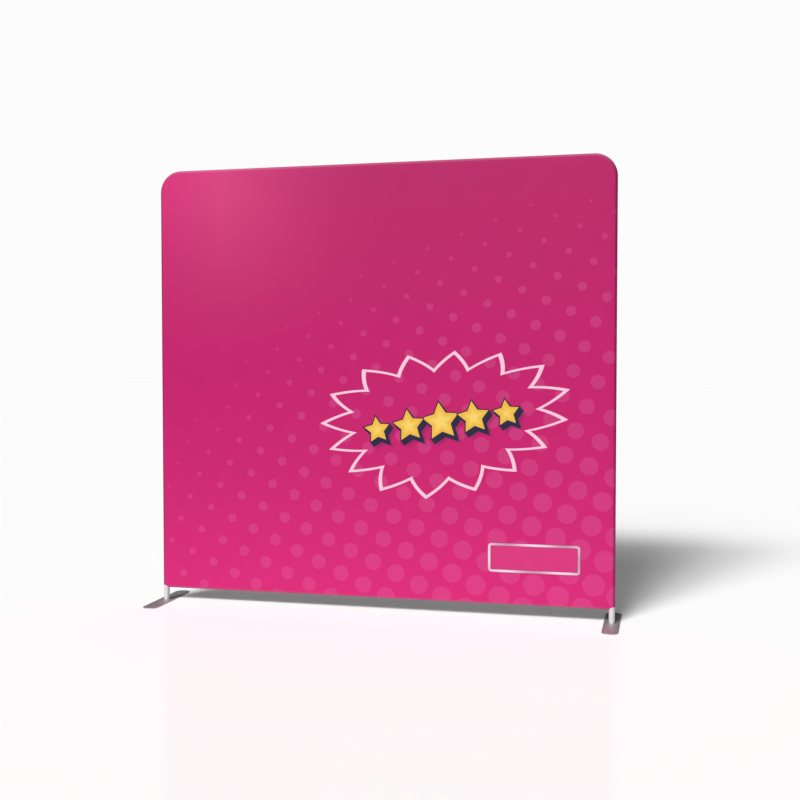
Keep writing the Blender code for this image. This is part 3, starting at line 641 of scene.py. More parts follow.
def weave_tape(name, side):
    """A tape below (side -1) or above (side 1) the zip's middle line."""
    bpy.ops.mesh.primitive_plane_add(size=1)
    tape = named(name)
    open_mesh(tape)
    rows = [(h * MM, y * MM) for h, y in TAPE_ROWS]

    def lay(co):
        """The plane's points go to the section's first two rows, as far apart as the zip is long."""
        height, depth = rows[0] if co.y < 0 else rows[1]
        return Vector((2 * ZIP_END * co.x, depth, side * height)) - co

    move_points(lay)
    for before, row in zip(rows[1:], rows[2:]):
        extrude_edges(
            lambda e: e.is_boundary and abs(place_of(e).x) < MM and abs(place_of(e).z) > before[0] - NEAR,
            lambda co: Vector((0, row[1] - before[1], side * (row[0] - before[0]))),
        )
    pick("FACE", lambda f: True)
    bpy.ops.mesh.normals_make_consistent()
    if sum(f.normal.y for f in bmesh.from_edit_mesh(tape.data).faces) < 0:
        bpy.ops.mesh.flip_normals()
    cut_across("X", spread_evenly(-ZIP_END, SLIDER_X, TAPE_STEP))
    cut_across("X", spread_evenly(SLIDER_X, ZIP_END, SPREAD_STEP) + [SLIDER_X])
    move_points(lambda co: Vector((0, 0, side * spread_at(co.x, abs(co.z)) + ZIP_Z)))
    close_mesh()
    thickness = tape.modifiers.new("thickness", "SOLIDIFY")
    thickness.thickness, thickness.offset = TAPE_THICKNESS, 0
    apply_modifiers(tape)
    smooth(tape)
    return tape


tape_low, tape_high = weave_tape("tape_low", -1), weave_tape("tape_high", 1)
print("tapes:", len(tape_low.data.polygons), "faces each")

# %% [markdown]
# ## The zip's coils
#
# A coil zip has no single teeth: one stiff thread is wound into a flat spiral and sewn to the tape's edge.
# The Screw modifier winds exactly that from a small ring. Copies of a single loop in an Array would look
# alike, but wouldn't hang together. The spiral comes out round, and a formula presses it flat while the
# thread keeps its own thickness.

# %% Wind the coils
COIL_PITCH = 1.5 * MM
COIL_THREAD, ROUND_RADIUS = 0.22 * MM, 5 * MM
COIL_WIDE, COIL_DEEP = 1.33 * MM, 0.28 * MM
COIL_HEIGHT, COIL_Y = 1.25 * MM, 16.05 * MM
STOP_X = ZIP_END - 2 * MM
STEPS_PER_TURN = 8


def wind_coil(name, side):
    """One tape's coil. The other tape's starts half a turn later, so that the two lock into each other."""
    turns = math.floor((2 * STOP_X - COIL_PITCH) / COIL_PITCH)
    bpy.ops.mesh.primitive_circle_add(vertices=4, radius=COIL_THREAD, location=(0, ROUND_RADIUS, 0))
    coil = fix_place(named(name))
    winding = coil.modifiers.new("winding", "SCREW")
    winding.axis = "X"
    winding.angle = math.radians(360)
    winding.screw_offset = COIL_PITCH
    winding.iterations = turns
    winding.steps = winding.render_steps = STEPS_PER_TURN
    apply_modifiers(coil)
    start = -STOP_X + COIL_PITCH * (0.25 if side < 0 else 0.75)
    for v in coil.data.vertices:
        angle = math.atan2(v.co.z, v.co.y)
        beyond = math.hypot(v.co.y, v.co.z) - ROUND_RADIUS
        v.co.x += start
        v.co.y = COIL_Y + (COIL_DEEP + beyond) * math.cos(angle)
        middle = ZIP_Z + side * (COIL_HEIGHT + spread_at(v.co.x, COIL_HEIGHT))
        v.co.z = middle + (COIL_WIDE + beyond) * math.sin(angle)
    open_mesh(coil)
    bpy.ops.mesh.select_all(action="SELECT")
    bpy.ops.mesh.normals_make_consistent()
    pick("EDGE", lambda e: e.is_boundary)
    bpy.ops.mesh.edge_face_add()
    close_mesh()
    smooth(coil, 80)
    return coil


coil_low, coil_high = wind_coil("coil_low", -1), wind_coil("coil_high", 1)
print("coils:", len(coil_low.data.polygons), "faces each")

# %% [markdown]
# ## Stops for the slider
#
# A pressed metal clip at each tape's end keeps the slider from running off. At the far end one wider clip
# holds both tapes together. Each is a box with its edges bevelled.

# %% Press the zip's stops
STOP_LENGTH, STOP_ROUNDING = 2 * MM, 0.45 * MM
STOP_FRONT, STOP_BACK = 14.9 * MM, 16.85 * MM
END_STOP_REACH = 3.3 * MM
TOP_STOP = (0.3 * MM, 3.6 * MM)


def press_stop(name, x, low_z, high_z):
    """A pressed clip at a place along the zip, between two heights."""
    stop = add_box(name, (x - STOP_LENGTH / 2, STOP_FRONT, low_z), (x + STOP_LENGTH / 2, STOP_BACK, high_z))
    open_mesh(stop)
    bpy.ops.mesh.select_all(action="SELECT")
    bevel(STOP_ROUNDING)
    close_mesh()
    smooth(stop, 60)
    return stop


stop_x = STOP_X + STOP_LENGTH / 2
stops = [press_stop("end_stop", -stop_x, ZIP_Z - END_STOP_REACH, ZIP_Z + END_STOP_REACH)]
for name, side in (("top_stop_low", -1), ("top_stop_high", 1)):
    stops.append(press_stop(name, stop_x, *sorted(ZIP_Z + side * (h + SPREAD) for h in TOP_STOP)))
print("stops:", [s.name for s in stops])

# %% [markdown]
# ## Stitches
#
# Thread shows as a row of short raised dashes that dive into the cloth at both ends. One dash is modelled from a
# cylinder: two cuts, then the ends drawn in and pushed down. A picture of a thread on a flat strip would do from
# the front, but seen along the seam it would vanish.

# %% Model one stitch
STITCH_LENGTH, STITCH_RADIUS, STITCH_PITCH = 2.9 * MM, 0.25 * MM, 3.5 * MM
STITCH_FLAT, STITCH_DIVE, STITCH_TAPER = 0.9 * MM, 0.28 * MM, 0.6


def dive(co):
    """The stitch's ends are thinner than its middle, and lower."""
    if abs(co.x) < MM:
        return Vector()
    return Vector((co.x, STITCH_TAPER * co.y, STITCH_TAPER * co.z - STITCH_DIVE)) - co


bpy.ops.mesh.primitive_cylinder_add(
    vertices=6, radius=STITCH_RADIUS, depth=STITCH_LENGTH, rotation=(0, math.radians(90), 0)
)
stitch = fix_place(named("stitch_model"))
open_mesh(stitch)
cut_across("X", [-STITCH_FLAT, STITCH_FLAT])
move_points(dive)
close_mesh()
print("one stitch:", len(stitch.data.polygons), "faces")

# %% [markdown]
# The sewing machine is a function. It walks along a line, asks the cloth how high it lies there, and puts a
# dash down. An Array along a curve would miss the ripples. The seam has one row. The zip has two rows on each
# side, and a dense bar across each end that takes the pull when the cover is closed.

# %% Sew along a line
TOPSTITCH, STITCH_LIFT = 3 * MM, 0.08 * MM
ZIP_SEAMS, ZIP_SEAM_END = (11.5 * MM, 16 * MM), ZIP_END - 2 * MM
BAR_PLACE, BAR_HALF, BAR_PITCH = OPENING_X + 1.2 * MM, 7 * MM, 0.6 * MM


def walk(path, pitch):
    """Places at equal steps along a path of points: where, and the direction there."""
    left = pitch / 2
    for start, end in zip(path, path[1:]):
        step = end - start
        while left < step.length:
            yield start + step * (left / step.length), step.normalized()
            left += pitch
        left -= step.length


def on_cloth(cloth, x, z):
    """The cloth's outside behind a place: the point and the way that it faces."""
    hit, place, normal, _ = cloth.ray_cast(Vector((x, 0.05, z)), Vector((0, -1, 0)))
    return (place, normal) if hit else (None, None)


def stitches_along(cloth, path, pitch=STITCH_PITCH, across=False):
    """One placing matrix for each stitch on a cloth along a line of (x, z) points."""
    placings = []
    for point, direction in walk([Vector(p) for p in path], pitch):
        place, normal = on_cloth(cloth, point.x, point.y)
        if place is None:
            continue
        along = Vector((direction.x, 0, direction.y))
        along = normal.cross(along) if across else along - normal * along.dot(normal)
        along.normalize()
        turn = Matrix((along, normal.cross(along), normal)).transposed().to_4x4()
        placings.append(Matrix.Translation(place + normal * STITCH_LIFT) @ turn)
    return placings


def scatter(name, model, placings):
    """Joins a copy of a small model at every placing into one piece."""
    count = len(model.data.vertices)
    points = [placing @ v.co for placing in placings for v in model.data.vertices]
    faces = [[i * count + k for k in p.vertices] for i in range(len(placings)) for p in model.data.polygons]
    mesh = bpy.data.meshes.new(name)
    mesh.from_pydata(points, [], faces)
    piece = bpy.data.objects.new(name, mesh)
    bpy.context.collection.objects.link(piece)
    smooth(piece, 60)
    print(name + ":", len(placings))
    return piece


def seam_line(inset):
    """The seam's line up one side, across the top and down the other, moved inwards."""
    radius = BEND_RADIUS - LIP - inset
    turns = [math.radians(90 * i / BEND_SEGMENTS) for i in range(BEND_SEGMENTS + 1)]
    arc = [(BEND_CENTRE[0] + radius * math.cos(a), BEND_CENTRE[1] + radius * math.sin(a)) for a in turns]
    right = [(SEAM_X - inset, SEAM_BOTTOM + inset)] + arc
    return right + [(-x, z) for x, z in reversed(right)]


seam_places = stitches_along(back, seam_line(TOPSTITCH))
for side in (-1, 1):
    ends = side * (OPENING_X + HEM_FLAT), side * (SEAM_X - TOPSTITCH)
    seam_places += stitches_along(back, [(x, SEAM_BOTTOM + TOPSTITCH) for x in ends])
seam_stitches = scatter("seam_stitches", stitch, seam_places)

zip_places = []
for height in ZIP_SEAMS:
    for cloth, z in ((back, ZIP_Z + height), (front, ZIP_Z - height)):
        zip_places += stitches_along(cloth, [(-ZIP_SEAM_END, z), (ZIP_SEAM_END, z)])
for side in (-1, 1):
    x = side * (OPENING_X + 2 * MM)
    zip_places += stitches_along(back, [(x, SEAM_BOTTOM + 2 * MM), (x, ZIP_Z + ZIP_SEAMS[0])])
    x = side * BAR_PLACE
    zip_places += stitches_along(back, [(x, ZIP_Z - BAR_HALF), (x, ZIP_Z + BAR_HALF)], BAR_PITCH, across=True)
zip_stitches = scatter("zip_stitches", stitch, zip_places)

# %% [markdown]
# ## Rivets
#
# Each spigot is held in its own tube by one rivet, in line with the spring button. The head is a sphere, cut in
# half and pressed flat. It is modelled once and copied to the ten joints.

# %% Set the rivets
RIVET_RADIUS, RIVET_CUT, RIVET_FLATTEN, RIVET_SINK = 2.6 * MM, 0.6 * MM, 0.55, 0.9 * MM
POLE_RADIUS = 12.5 * MM
# Where the tubes meet, and how far from there a rivet sits
LEVEL_JOINT, UPRIGHT_JOINTS, POLE_JOINTS, RIVET_BACK = 0.4, (1.55, 0.80), (0.85, 1.58), 25 * MM

bpy.ops.mesh.primitive_uv_sphere_add(segments=16, ring_count=8, radius=RIVET_RADIUS)
rivet = named("rivet_model")
open_mesh(rivet)
bpy.ops.mesh.select_all(action="SELECT")
bpy.ops.mesh.bisect(plane_co=(0, 0, RIVET_CUT), plane_no=(0, 0, 1), clear_inner=True, use_fill=True)
bpy.ops.mesh.select_all(action="SELECT")
bpy.ops.transform.resize(value=(1, 1, RIVET_FLATTEN), center_override=(0, 0, RIVET_CUT))
bpy.ops.transform.translate(value=(0, 0, -RIVET_SINK))
close_mesh()

rivet_places = []
for side in (-1, 1):
    x = side * (LEVEL_JOINT - RIVET_BACK)
    rivet_places += [((x, 0, TOP_Z - TUBE_RADIUS), (0, 0, -1)), ((x, 0, RAIL_Z + TUBE_RADIUS), (0, 0, 1))]
    x = side * (TUBE_X - TUBE_RADIUS)
    rivet_places += [((x, 0, z - RIVET_BACK), (-side, 0, 0)) for z in UPRIGHT_JOINTS]
rivet_places += [((POLE_RADIUS, 0, z - RIVET_BACK), (1, 0, 0)) for z in POLE_JOINTS]
rivets = scatter("rivets", rivet, [
    Matrix.Translation(place) @ Vector(facing).to_track_quat("Z", "Y").to_matrix().to_4x4()
    for place, facing in rivet_places
])
for model in (stitch, rivet):
    bpy.data.objects.remove(model)

# %% [markdown]
# ## Writing materials
#
# A node material is a formula drawn as boxes and wires. Written out node by node it gets long, so a small
# helper adds a node, sets or wires its inputs, and returns its output. What is the same all over a
# surface is set on the shader itself. Only what changes from place to place is wired.


# %% A helper for node trees
class Tree:
    """Builds a node tree as a formula: each method adds a node and returns its output."""

    def __init__(self, tree):
        self.tree = tree

    def wired(self, node, inputs, out):
        """Sets a node's inputs, or wires those that another node gives."""
        for key, value in inputs.items():
            if isinstance(value, bpy.types.NodeSocket):
                self.tree.links.new(value, node.inputs[key])
            else:
                node.inputs[key].default_value = value
        return node.outputs[out]

    def add(self, kind, inputs=None, out=0, **settings):
        node = self.tree.nodes.new(kind)
        for key, value in settings.items():
            setattr(node, key, value)
        return self.wired(node, inputs or {}, out)

    def use(self, group, inputs, out=0):
        """Places a node group with its own values."""
        node = self.tree.nodes.new("ShaderNodeGroup")
        node.node_tree = group
        return self.wired(node, inputs, out)

    def math(self, operation, a, b=0.5, c=0.5):
        return self.add("ShaderNodeMath", {0: a, 1: b, 2: c}, operation=operation)

    def vector(self, operation, a, b=(0, 0, 0)):
        """Arithmetic on places. A length or a distance comes out as a number."""
        out = 1 if operation in ("LENGTH", "DISTANCE") else 0
        return self.add("ShaderNodeVectorMath", {0: a, 1: b}, out, operation=operation)

    def blend(self, factor, a, b, kind="MIX"):
        """Mixes two colours."""
        a, b = (x if isinstance(x, bpy.types.NodeSocket) else (*x, 1) for x in (a, b))
        return self.add("ShaderNodeMix", {0: factor, 6: a, 7: b}, out=2, data_type="RGBA", blend_type=kind)

    def ramp(self, value, low, high, to_low=0.0, to_high=1.0):
        """Stretches a range of values to another one, and holds both ends."""
        return self.add("ShaderNodeMapRange", {0: value, 1: low, 2: high, 3: to_low, 4: to_high})

    def noise(self, place, scale, detail=2.0, roughness=0.5):
        inputs = {"Vector": place, "Scale": scale, "Detail": detail, "Roughness": roughness}
        return self.add("ShaderNodeTexNoise", inputs)

    def place(self):
        """Where a point of the surface is, in metres. Every piece's object sits at the origin."""
        return self.add("ShaderNodeTexCoord", out=3)

    def facing(self):
        """Which way the surface faces."""
        return self.add("ShaderNodeNewGeometry", out=1)

    def seen_from(self, vector, shift, turn, scale):
        """Places as seen from a motif that was moved, turned and sized that way."""
        values = {"Vector": vector, "Location": shift, "Rotation": turn, "Scale": scale}
        return self.add("ShaderNodeMapping", values, vector_type="TEXTURE")

    def split(self, vector):
        node = self.add("ShaderNodeSeparateXYZ", {0: vector}).node
        return node.outputs[0], node.outputs[1], node.outputs[2]

    def join(self, x=0.0, y=0.0, z=0.0):
        return self.add("ShaderNodeCombineXYZ", {0: x, 1: y, 2: z})

    def bump(self, height, distance, strength=0.5):
        return self.add("ShaderNodeBump", {"Height": height, "Distance": distance, "Strength": strength})


print("materials start from", len(bpy.data.materials), "that came with the frame")

# %% [markdown]
# A group is a formula that several materials share. Its inputs and outputs are named sockets, so each material
# hands in values of its own. A material itself always has one Principled shader here, and the floor alone is an
# exception.

# %% Helpers for groups and materials
def new_group(name, inputs, outputs):
    """A shader node group with named sockets: its tree helper, its inputs, and a function that sets an output."""
    group = bpy.data.node_groups.new(name, "ShaderNodeTree")
    kinds = {"vector": "NodeSocketVector", "value": "NodeSocketFloat"}
    for sockets, in_out in ((inputs, "INPUT"), (outputs, "OUTPUT")):
        for label, kind in sockets.items():
            group.interface.new_socket(name=label, in_out=in_out, socket_type=kinds[kind])
    start, finish = group.nodes.new("NodeGroupInput"), group.nodes.new("NodeGroupOutput")
    return group, Tree(group), start.outputs, lambda label, socket: group.links.new(socket, finish.inputs[label])


def new_material(name, **settings):
    """A material with one Principled shader, its constant settings made, and its tree helper."""
    material = bpy.data.materials.new(name)
    material.use_nodes = True
    shader = material.node_tree.nodes["Principled BSDF"]
    for label, value in settings.items():
        shader.inputs[label.replace("_", " ")].default_value = value
    links = material.node_tree.links
    return material, Tree(material.node_tree), lambda label, socket: links.new(socket, shader.inputs[label])


def cover_with(material, *pieces):
    """Gives pieces or CAD nodes a material."""
    for piece in pieces:
        piece = nodes[piece] if isinstance(piece, str) else piece
        piece.data.materials.clear()
        piece.data.materials.append(material)


print("node groups so far:", len(bpy.data.node_groups))

# %% [markdown]
# ## Knitted cloth
#
# The print, its bare inside, the white back and the tapes are all threads looped or woven in rows, so they share
# one group. Two crossed waves give the loops their height, half a row shifted in every second row. A slow
# noise adds the uneven shade that every knit has. At 0.7 mm a loop only shows up close, and should do no more.

# %% Build the knit group
TURN = 2 * math.pi
CLOUDS_PER_METRE, STREAKS_PER_METRE = 9.0, (700, 700, 6)

knit, t, given, give = new_group(
    "knit_rows",
    {"Place": "vector", "Rows per metre": "value", "Columns per metre": "value"},
    {"Height": "value", "Shade": "value"},
)
x, y, z = t.split(given["Place"])
u = t.math("MULTIPLY", t.math("ADD", x, y), given["Columns per metre"])
v = t.math("MULTIPLY", t.math("ADD", z, y), given["Rows per metre"])
half_shift = t.math("MULTIPLY", t.math("MODULO", t.math("FLOOR", v), 2.0), 0.5)
column = t.math("SINE", t.math("MULTIPLY", t.math("ADD", u, half_shift), TURN))
row = t.math("ABSOLUTE", t.math("SINE", t.math("MULTIPLY", v, TURN / 2)))
give("Height", t.math("MULTIPLY_ADD", column, 0.25, t.math("MULTIPLY", row, 0.75)))
cloudy = t.noise(given["Place"], CLOUDS_PER_METRE, 3.0)
streaky = t.noise(t.vector("MULTIPLY", given["Place"], STREAKS_PER_METRE), 1.0, 1.0)
give("Shade", t.math("ADD", t.math("MULTIPLY", cloudy, 0.6), t.math("MULTIPLY", streaky, 0.4)))
print(knit.name, [s.name for s in knit.interface.items_tree])

# %% [markdown]
# ## Streaked metal
#
# Drawn tube, rolled plate and pressed steel all carry fine lines along the way they were made, and dull patches
# where hands and floors have rubbed them. One group gives both masks. A material turns it by stretching the place
# that it hands in: the lines run along the axis with the smallest scale.

# %% Build the metal group
SPECKS_PER_METRE = 900.0

streaks, t, given, give = new_group(
    "metal_streaks",
    {"Place": "vector", "Stretch": "vector", "Scuff size": "value"},
    {"Lines": "value", "Scuffs": "value"},
)
give("Lines", t.noise(t.vector("MULTIPLY", given["Place"], given["Stretch"]), 1.0, 4.0, 0.65))
patches = t.ramp(t.noise(given["Place"], given["Scuff size"], 3.0, 0.6), 0.48, 0.68)
specks = t.ramp(t.noise(given["Place"], SPECKS_PER_METRE, 2.0, 0.6), 0.42, 0.62)
give("Scuffs", t.math("MULTIPLY", patches, specks))
print(streaks.name, [s.name for s in streaks.interface.items_tree])

# %% [markdown]
# ## Shapes that are drawn by distance
#
# A printed shape without a picture file is a distance: how far a point lies outside the shape's edge. Where it is
# below zero there is ink. A star is five copies of one corner, so its group folds the angle round the middle
# until all five lie on each other, and then measures to a single straight edge. A second group repeats the star
# along a row: it rounds a place to the nearest star's number, and shrinks the stars towards the ends.

# %% Build the star groups
FIFTH = TURN / 5
STAR_NOTCH = 0.52

star, t, given, give = new_group(
    "star_distance", {"Place": "vector", "Radius": "value"}, {"Distance": "value"},
)
x, y, _ = t.split(given["Place"])
turned = t.math("FLOORED_MODULO", t.math("ADD", t.math("ARCTAN2", x, y), FIFTH / 2), FIFTH)
folded = t.math("ABSOLUTE", t.math("SUBTRACT", turned, FIFTH / 2))
reach = t.vector("LENGTH", t.join(x, y))
# A star of radius 1 has its tip at (1, 0). This is the way out, square to the edge from there to the notch.
notch = STAR_NOTCH * Vector((math.cos(FIFTH / 2), math.sin(FIFTH / 2)))
outwards = Vector((notch.y, 1 - notch.x)).normalized()
along = t.math("MULTIPLY", t.math("MULTIPLY", reach, t.math("COSINE", folded)), outwards.x)
aside = t.math("MULTIPLY", t.math("MULTIPLY", reach, t.math("SINE", folded)), outwards.y)
edge = t.math("MULTIPLY", given["Radius"], outwards.x)
give("Distance", t.math("SUBTRACT", t.math("ADD", along, aside), edge))

STAR_STEP, STAR_RADIUS, STAR_SHRINK, STARS_EACH_SIDE = 0.168, 0.098, 0.015, 2

star_row, t, given, give = new_group(
    "star_row_distance", {"Place": "vector"}, {"Distance": "value"},
)
x, y, _ = t.split(given["Place"])
number = t.math("ROUND", t.math("DIVIDE", x, STAR_STEP))
number = t.math("MINIMUM", t.math("MAXIMUM", number, -STARS_EACH_SIDE), STARS_EACH_SIDE)
own_x = t.math("SUBTRACT", x, t.math("MULTIPLY", number, STAR_STEP))
radius = t.math("MULTIPLY_ADD", t.math("ABSOLUTE", number), -STAR_SHRINK, STAR_RADIUS)
give("Distance", t.use(star, {"Place": t.join(own_x, y), "Radius": radius}))
print("stars:", 2 * STARS_EACH_SIDE + 1, "in a row")

# %% [markdown]
# ## The printed cloth
#
# The print is dyed into the cloth, so it has hardly any gloss. Its magenta is lighter towards the bottom, and slightly
# cooler and deeper towards the top. A paler pink is painted over it round a point near the upper left corner. This is
# a painted pool of light: towards the side the painted glow turns redder, and from there outwards it no longer fades.
# An ink is named by how it looks in this scene. Dividing by the scene's light gives what the cloth itself reflects.

# %% Mix the inks
STUDIO_LIGHT = 1.68


def ink(red, green, blue):
    """A colour as it looks on a screen, from 0 to 255, as what the surface itself reflects."""
    channels = (c / 255 for c in (red, green, blue))
    return tuple((c / 12.92 if c <= 0.04045 else ((c + 0.055) / 1.055) ** 2.4) / STUDIO_LIGHT for c in channels)


GROUND_LOW, GROUND_MIDDLE, GROUND_HIGH = ink(220, 42, 123), ink(197, 29, 108), ink(187, 36, 104)
# Inks of the painted glow, a pool of light painted near the upper left corner, and where and how far it reaches
PAINTED_GLOW, PAINTED_GLOW_LEFT = ink(217, 66, 127), ink(218, 51, 124)
LOW_Z, MIDDLE_Z, HIGH_Z, LOW_CURVE = 0.1, 1.3, 2.25, 1.6
PAINTED_GLOW_PLACE, PAINTED_GLOW_EDGE, PAINTED_GLOW_REDDENS = (-0.9, 2.2, 0), -0.95, (-1.15, -0.85)
PAINTED_GLOW_REACH, PAINTED_GLOW_CURVE = (0.05, 1.05), 1.9

printed_cloth, t, finish_print = new_material("printed_cloth", Roughness=0.55, Specular_IOR_Level=0.1)
spot = t.place()
x, y, z = t.split(spot)
flat_spot = t.join(x, z)


def coverage(distance, soft=0.8 * MM):
    """1 where a distance is below zero, 0 beyond, with a narrow soft edge."""
    return t.ramp(distance, -soft, soft, 1.0, 0.0)


def drawn_at(centre, degrees, scale=(1, 1)):
    """Places on the print seen from a motif's own middle, turn and size."""
    return t.seen_from(flat_spot, (*centre, 0), (0, 0, math.radians(degrees)), (*scale, 1))


ground = t.blend(t.math("POWER", t.ramp(z, MIDDLE_Z, LOW_Z), LOW_CURVE), GROUND_MIDDLE, GROUND_LOW)
ground = t.blend(t.ramp(z, MIDDLE_Z, HIGH_Z), ground, GROUND_HIGH)
# The painted glow: a pool of light painted into the ground's colour round a point near the upper left corner
from_painted_glow = t.vector("DISTANCE", t.join(t.math("MAXIMUM", x, PAINTED_GLOW_EDGE), z), PAINTED_GLOW_PLACE)
painted_glow_colour = t.blend(t.ramp(x, *PAINTED_GLOW_REDDENS), PAINTED_GLOW_LEFT, PAINTED_GLOW)
painted_glow_share = t.math("POWER", t.ramp(from_painted_glow, *PAINTED_GLOW_REACH, 1.0, 0.0), PAINTED_GLOW_CURVE)
ground = t.blend(painted_glow_share, ground, painted_glow_colour)
print("inks: ground", [round(c, 3) for c in GROUND_MIDDLE])

# %% [markdown]
# Halftone dots lie over the ground on a square lattice that is turned on its corner. A lattice is one cell
# repeated, so the formula keeps only the fraction of a place that is left over from whole cells, and measures
# from the cell's middle. The dots grow towards the lower right by a gentle curve and vanish where they would be
# smaller than a printer can lay them. The large ones have a paler and cooler tint than the small ones, laid on
# more thinly.

# %% Lay the halftone dots
DOT_PITCH, DOT_TURN, DOT_ORIGIN = 0.1314, -24.12, (0.0411, 0.08478)
DOT_RADIUS_AT_ORIGIN = 0.0467
# How the radius changes for each metre, and for each square metre, sideways and upwards
DOT_GROWTH_X, DOT_GROWTH_Z = (0.0164, -0.0055), (-0.0127, -0.0053)
DOT_GONE, DOT_WHOLE = 6 * MM, 7 * MM
SMALL_DOT, LARGE_DOT = 12 * MM, 28 * MM
DOT_SMALL, DOT_LARGE = ink(255, 101, 177), ink(255, 164, 227)
STRENGTH_SMALL, STRENGTH_LARGE = 0.14, 0.07
HALF_CELL = (0.5, 0.5, 0)


def growth(place, by_metre, by_square_metre):
    return t.math("MULTIPLY", place, t.math("MULTIPLY_ADD", place, by_square_metre, by_metre))


lattice = drawn_at(DOT_ORIGIN, DOT_TURN, (DOT_PITCH, DOT_PITCH))
cell = t.vector("SUBTRACT", t.vector("FRACTION", t.vector("ADD", lattice, HALF_CELL)), HALF_CELL)
from_dot = t.math("MULTIPLY", t.vector("LENGTH", cell), DOT_PITCH)
grown = t.math("ADD", growth(x, *DOT_GROWTH_X), growth(z, *DOT_GROWTH_Z))
dot_radius = t.math("ADD", grown, DOT_RADIUS_AT_ORIGIN)
dots = t.math("MULTIPLY", coverage(t.math("SUBTRACT", from_dot, dot_radius)), t.math("LESS_THAN", y, 0.0))
dots = t.math("MULTIPLY", dots, t.ramp(dot_radius, DOT_GONE, DOT_WHOLE))
tint = t.blend(t.ramp(dot_radius, SMALL_DOT, LARGE_DOT), DOT_SMALL, DOT_LARGE)
strength = t.ramp(dot_radius, SMALL_DOT, LARGE_DOT, STRENGTH_SMALL, STRENGTH_LARGE)
picture = t.blend(t.math("MULTIPLY", dots, strength), ground, tint)
print("dots: every", round(DOT_PITCH / MM), "mm")

# %% [markdown]
# A plain burst outline, a row of stars and an empty frame are the kind of generic motif that such walls carry.
# The burst is a circle seen in a stretched and turned frame, whose radius zigzags with the angle. The stars stand
# out because they are printed four times: a soft shadow, three dark copies that step down to the right
# and look like a thickness, and the golden face with a dark rim.

# %% Draw the burst and the stars
OUTLINE_PINK, PLUM, NAVY = ink(250, 205, 225), ink(130, 30, 90), ink(40, 40, 70)
GOLD, GOLD_LIGHT = ink(240, 190, 70), ink(250, 214, 110)
BURST_CENTRE, BURST_TURN, BURST_SIZE = (0.33, 0.985), 8, (0.63, 0.36)
BURST_POINTS, BURST_INNER, BURST_UNEVEN = 16, 0.76, 0.05
OUTLINE, OUTLINE_SOFT = 0.026, 0.003
CAST_SHIFT, CAST_GROWTH, CAST_SOFT, CAST_STRENGTH = 0.034, 0.004, 6 * MM, 0.5
DEPTH_STEP, STAR_RIM, STAR_SHINE = (0.006, -0.007), 0.006, (-0.03, -0.008)

bx, by, _ = t.split(drawn_at(BURST_CENTRE, BURST_TURN, BURST_SIZE))
round_angle = t.math("ARCTAN2", by, bx)
zigzag = t.math("PINGPONG", t.math("MULTIPLY", round_angle, BURST_POINTS / math.pi), 1.0)
uneven = t.math("MULTIPLY", t.math("SINE", t.math("MULTIPLY_ADD", round_angle, 3.0, 0.6)), BURST_UNEVEN)
burst_edge = t.math("ADD", t.math("MULTIPLY_ADD", zigzag, 1 - BURST_INNER, BURST_INNER), uneven)
from_edge = t.math("ABSOLUTE", t.math("SUBTRACT", t.vector("LENGTH", t.join(bx, by)), burst_edge))
picture = t.blend(coverage(t.math("SUBTRACT", from_edge, OUTLINE), OUTLINE_SOFT), picture, OUTLINE_PINK)


def star_layer(shift_right, shift_up, growth=0.0):
    """Distance to the row of stars, moved aside and with every star grown a little."""
    centre = (BURST_CENTRE[0] + shift_right, BURST_CENTRE[1] + shift_up)
    return t.math("SUBTRACT", t.use(star_row, {"Place": drawn_at(centre, BURST_TURN)}), growth)


cast = coverage(star_layer(CAST_SHIFT, -CAST_SHIFT, CAST_GROWTH), CAST_SOFT)
picture = t.blend(t.math("MULTIPLY", cast, CAST_STRENGTH), picture, PLUM)
for step in (1, 2, 3, 0):
    picture = t.blend(coverage(star_layer(*(step * s for s in DEPTH_STEP), STAR_RIM)), picture, NAVY)
face = star_layer(0, 0)
picture = t.blend(coverage(face), picture, t.blend(t.ramp(face, *STAR_SHINE), GOLD_LIGHT, GOLD))
print("burst:", BURST_POINTS, "points")

# %% [markdown]
# The empty frame is a rectangle with round corners. Its distance is measured to a smaller rectangle and the
# corner's radius is taken off again, which rounds the corners by itself. The silver isn't metal but printed, so
# its gleam is a slow wave between two greys. A thin plum line sets it off, and plain pink fills it.

# %% Draw the empty frame
SILVER, SILVER_DARK, PLATE_PINK = ink(252, 222, 234), ink(206, 152, 180), ink(219, 58, 128)
PLATE_CENTRE, PLATE_HALF, PLATE_CORNER, PLATE_FRAME = (0.801, 0.3065), (0.2295, 0.0728), 0.018, 0.0125
GLEAM_WAVES, PLUM_LINE, PLUM_STRENGTH = 22.0, 2.5 * MM, 0.7

px, py, _ = t.split(drawn_at(PLATE_CENTRE, 0))
outside = [
    t.math("MAXIMUM", t.math("SUBTRACT", t.math("ABSOLUTE", p), half - PLATE_CORNER), 0.0)
    for p, half in zip((px, py), PLATE_HALF)
]
from_plate = t.math("SUBTRACT", t.vector("LENGTH", t.join(*outside)), PLATE_CORNER)
from_middle = t.math("ABSOLUTE", t.math("ADD", from_plate, PLATE_FRAME / 2))
from_frame = t.math("SUBTRACT", from_middle, PLATE_FRAME / 2)
line = coverage(t.math("SUBTRACT", from_frame, PLUM_LINE))
gleam = t.ramp(t.math("SINE", t.math("MULTIPLY", t.math("ADD", px, py), GLEAM_WAVES)), -1.0, 1.0)
picture = t.blend(coverage(from_plate), picture, PLATE_PINK)
picture = t.blend(t.math("MULTIPLY", line, PLUM_STRENGTH), picture, PLUM)
picture = t.blend(coverage(from_frame), picture, t.blend(gleam, SILVER_DARK, SILVER))
print("frame:", [round(2 * half / MM) for half in PLATE_HALF], "mm")

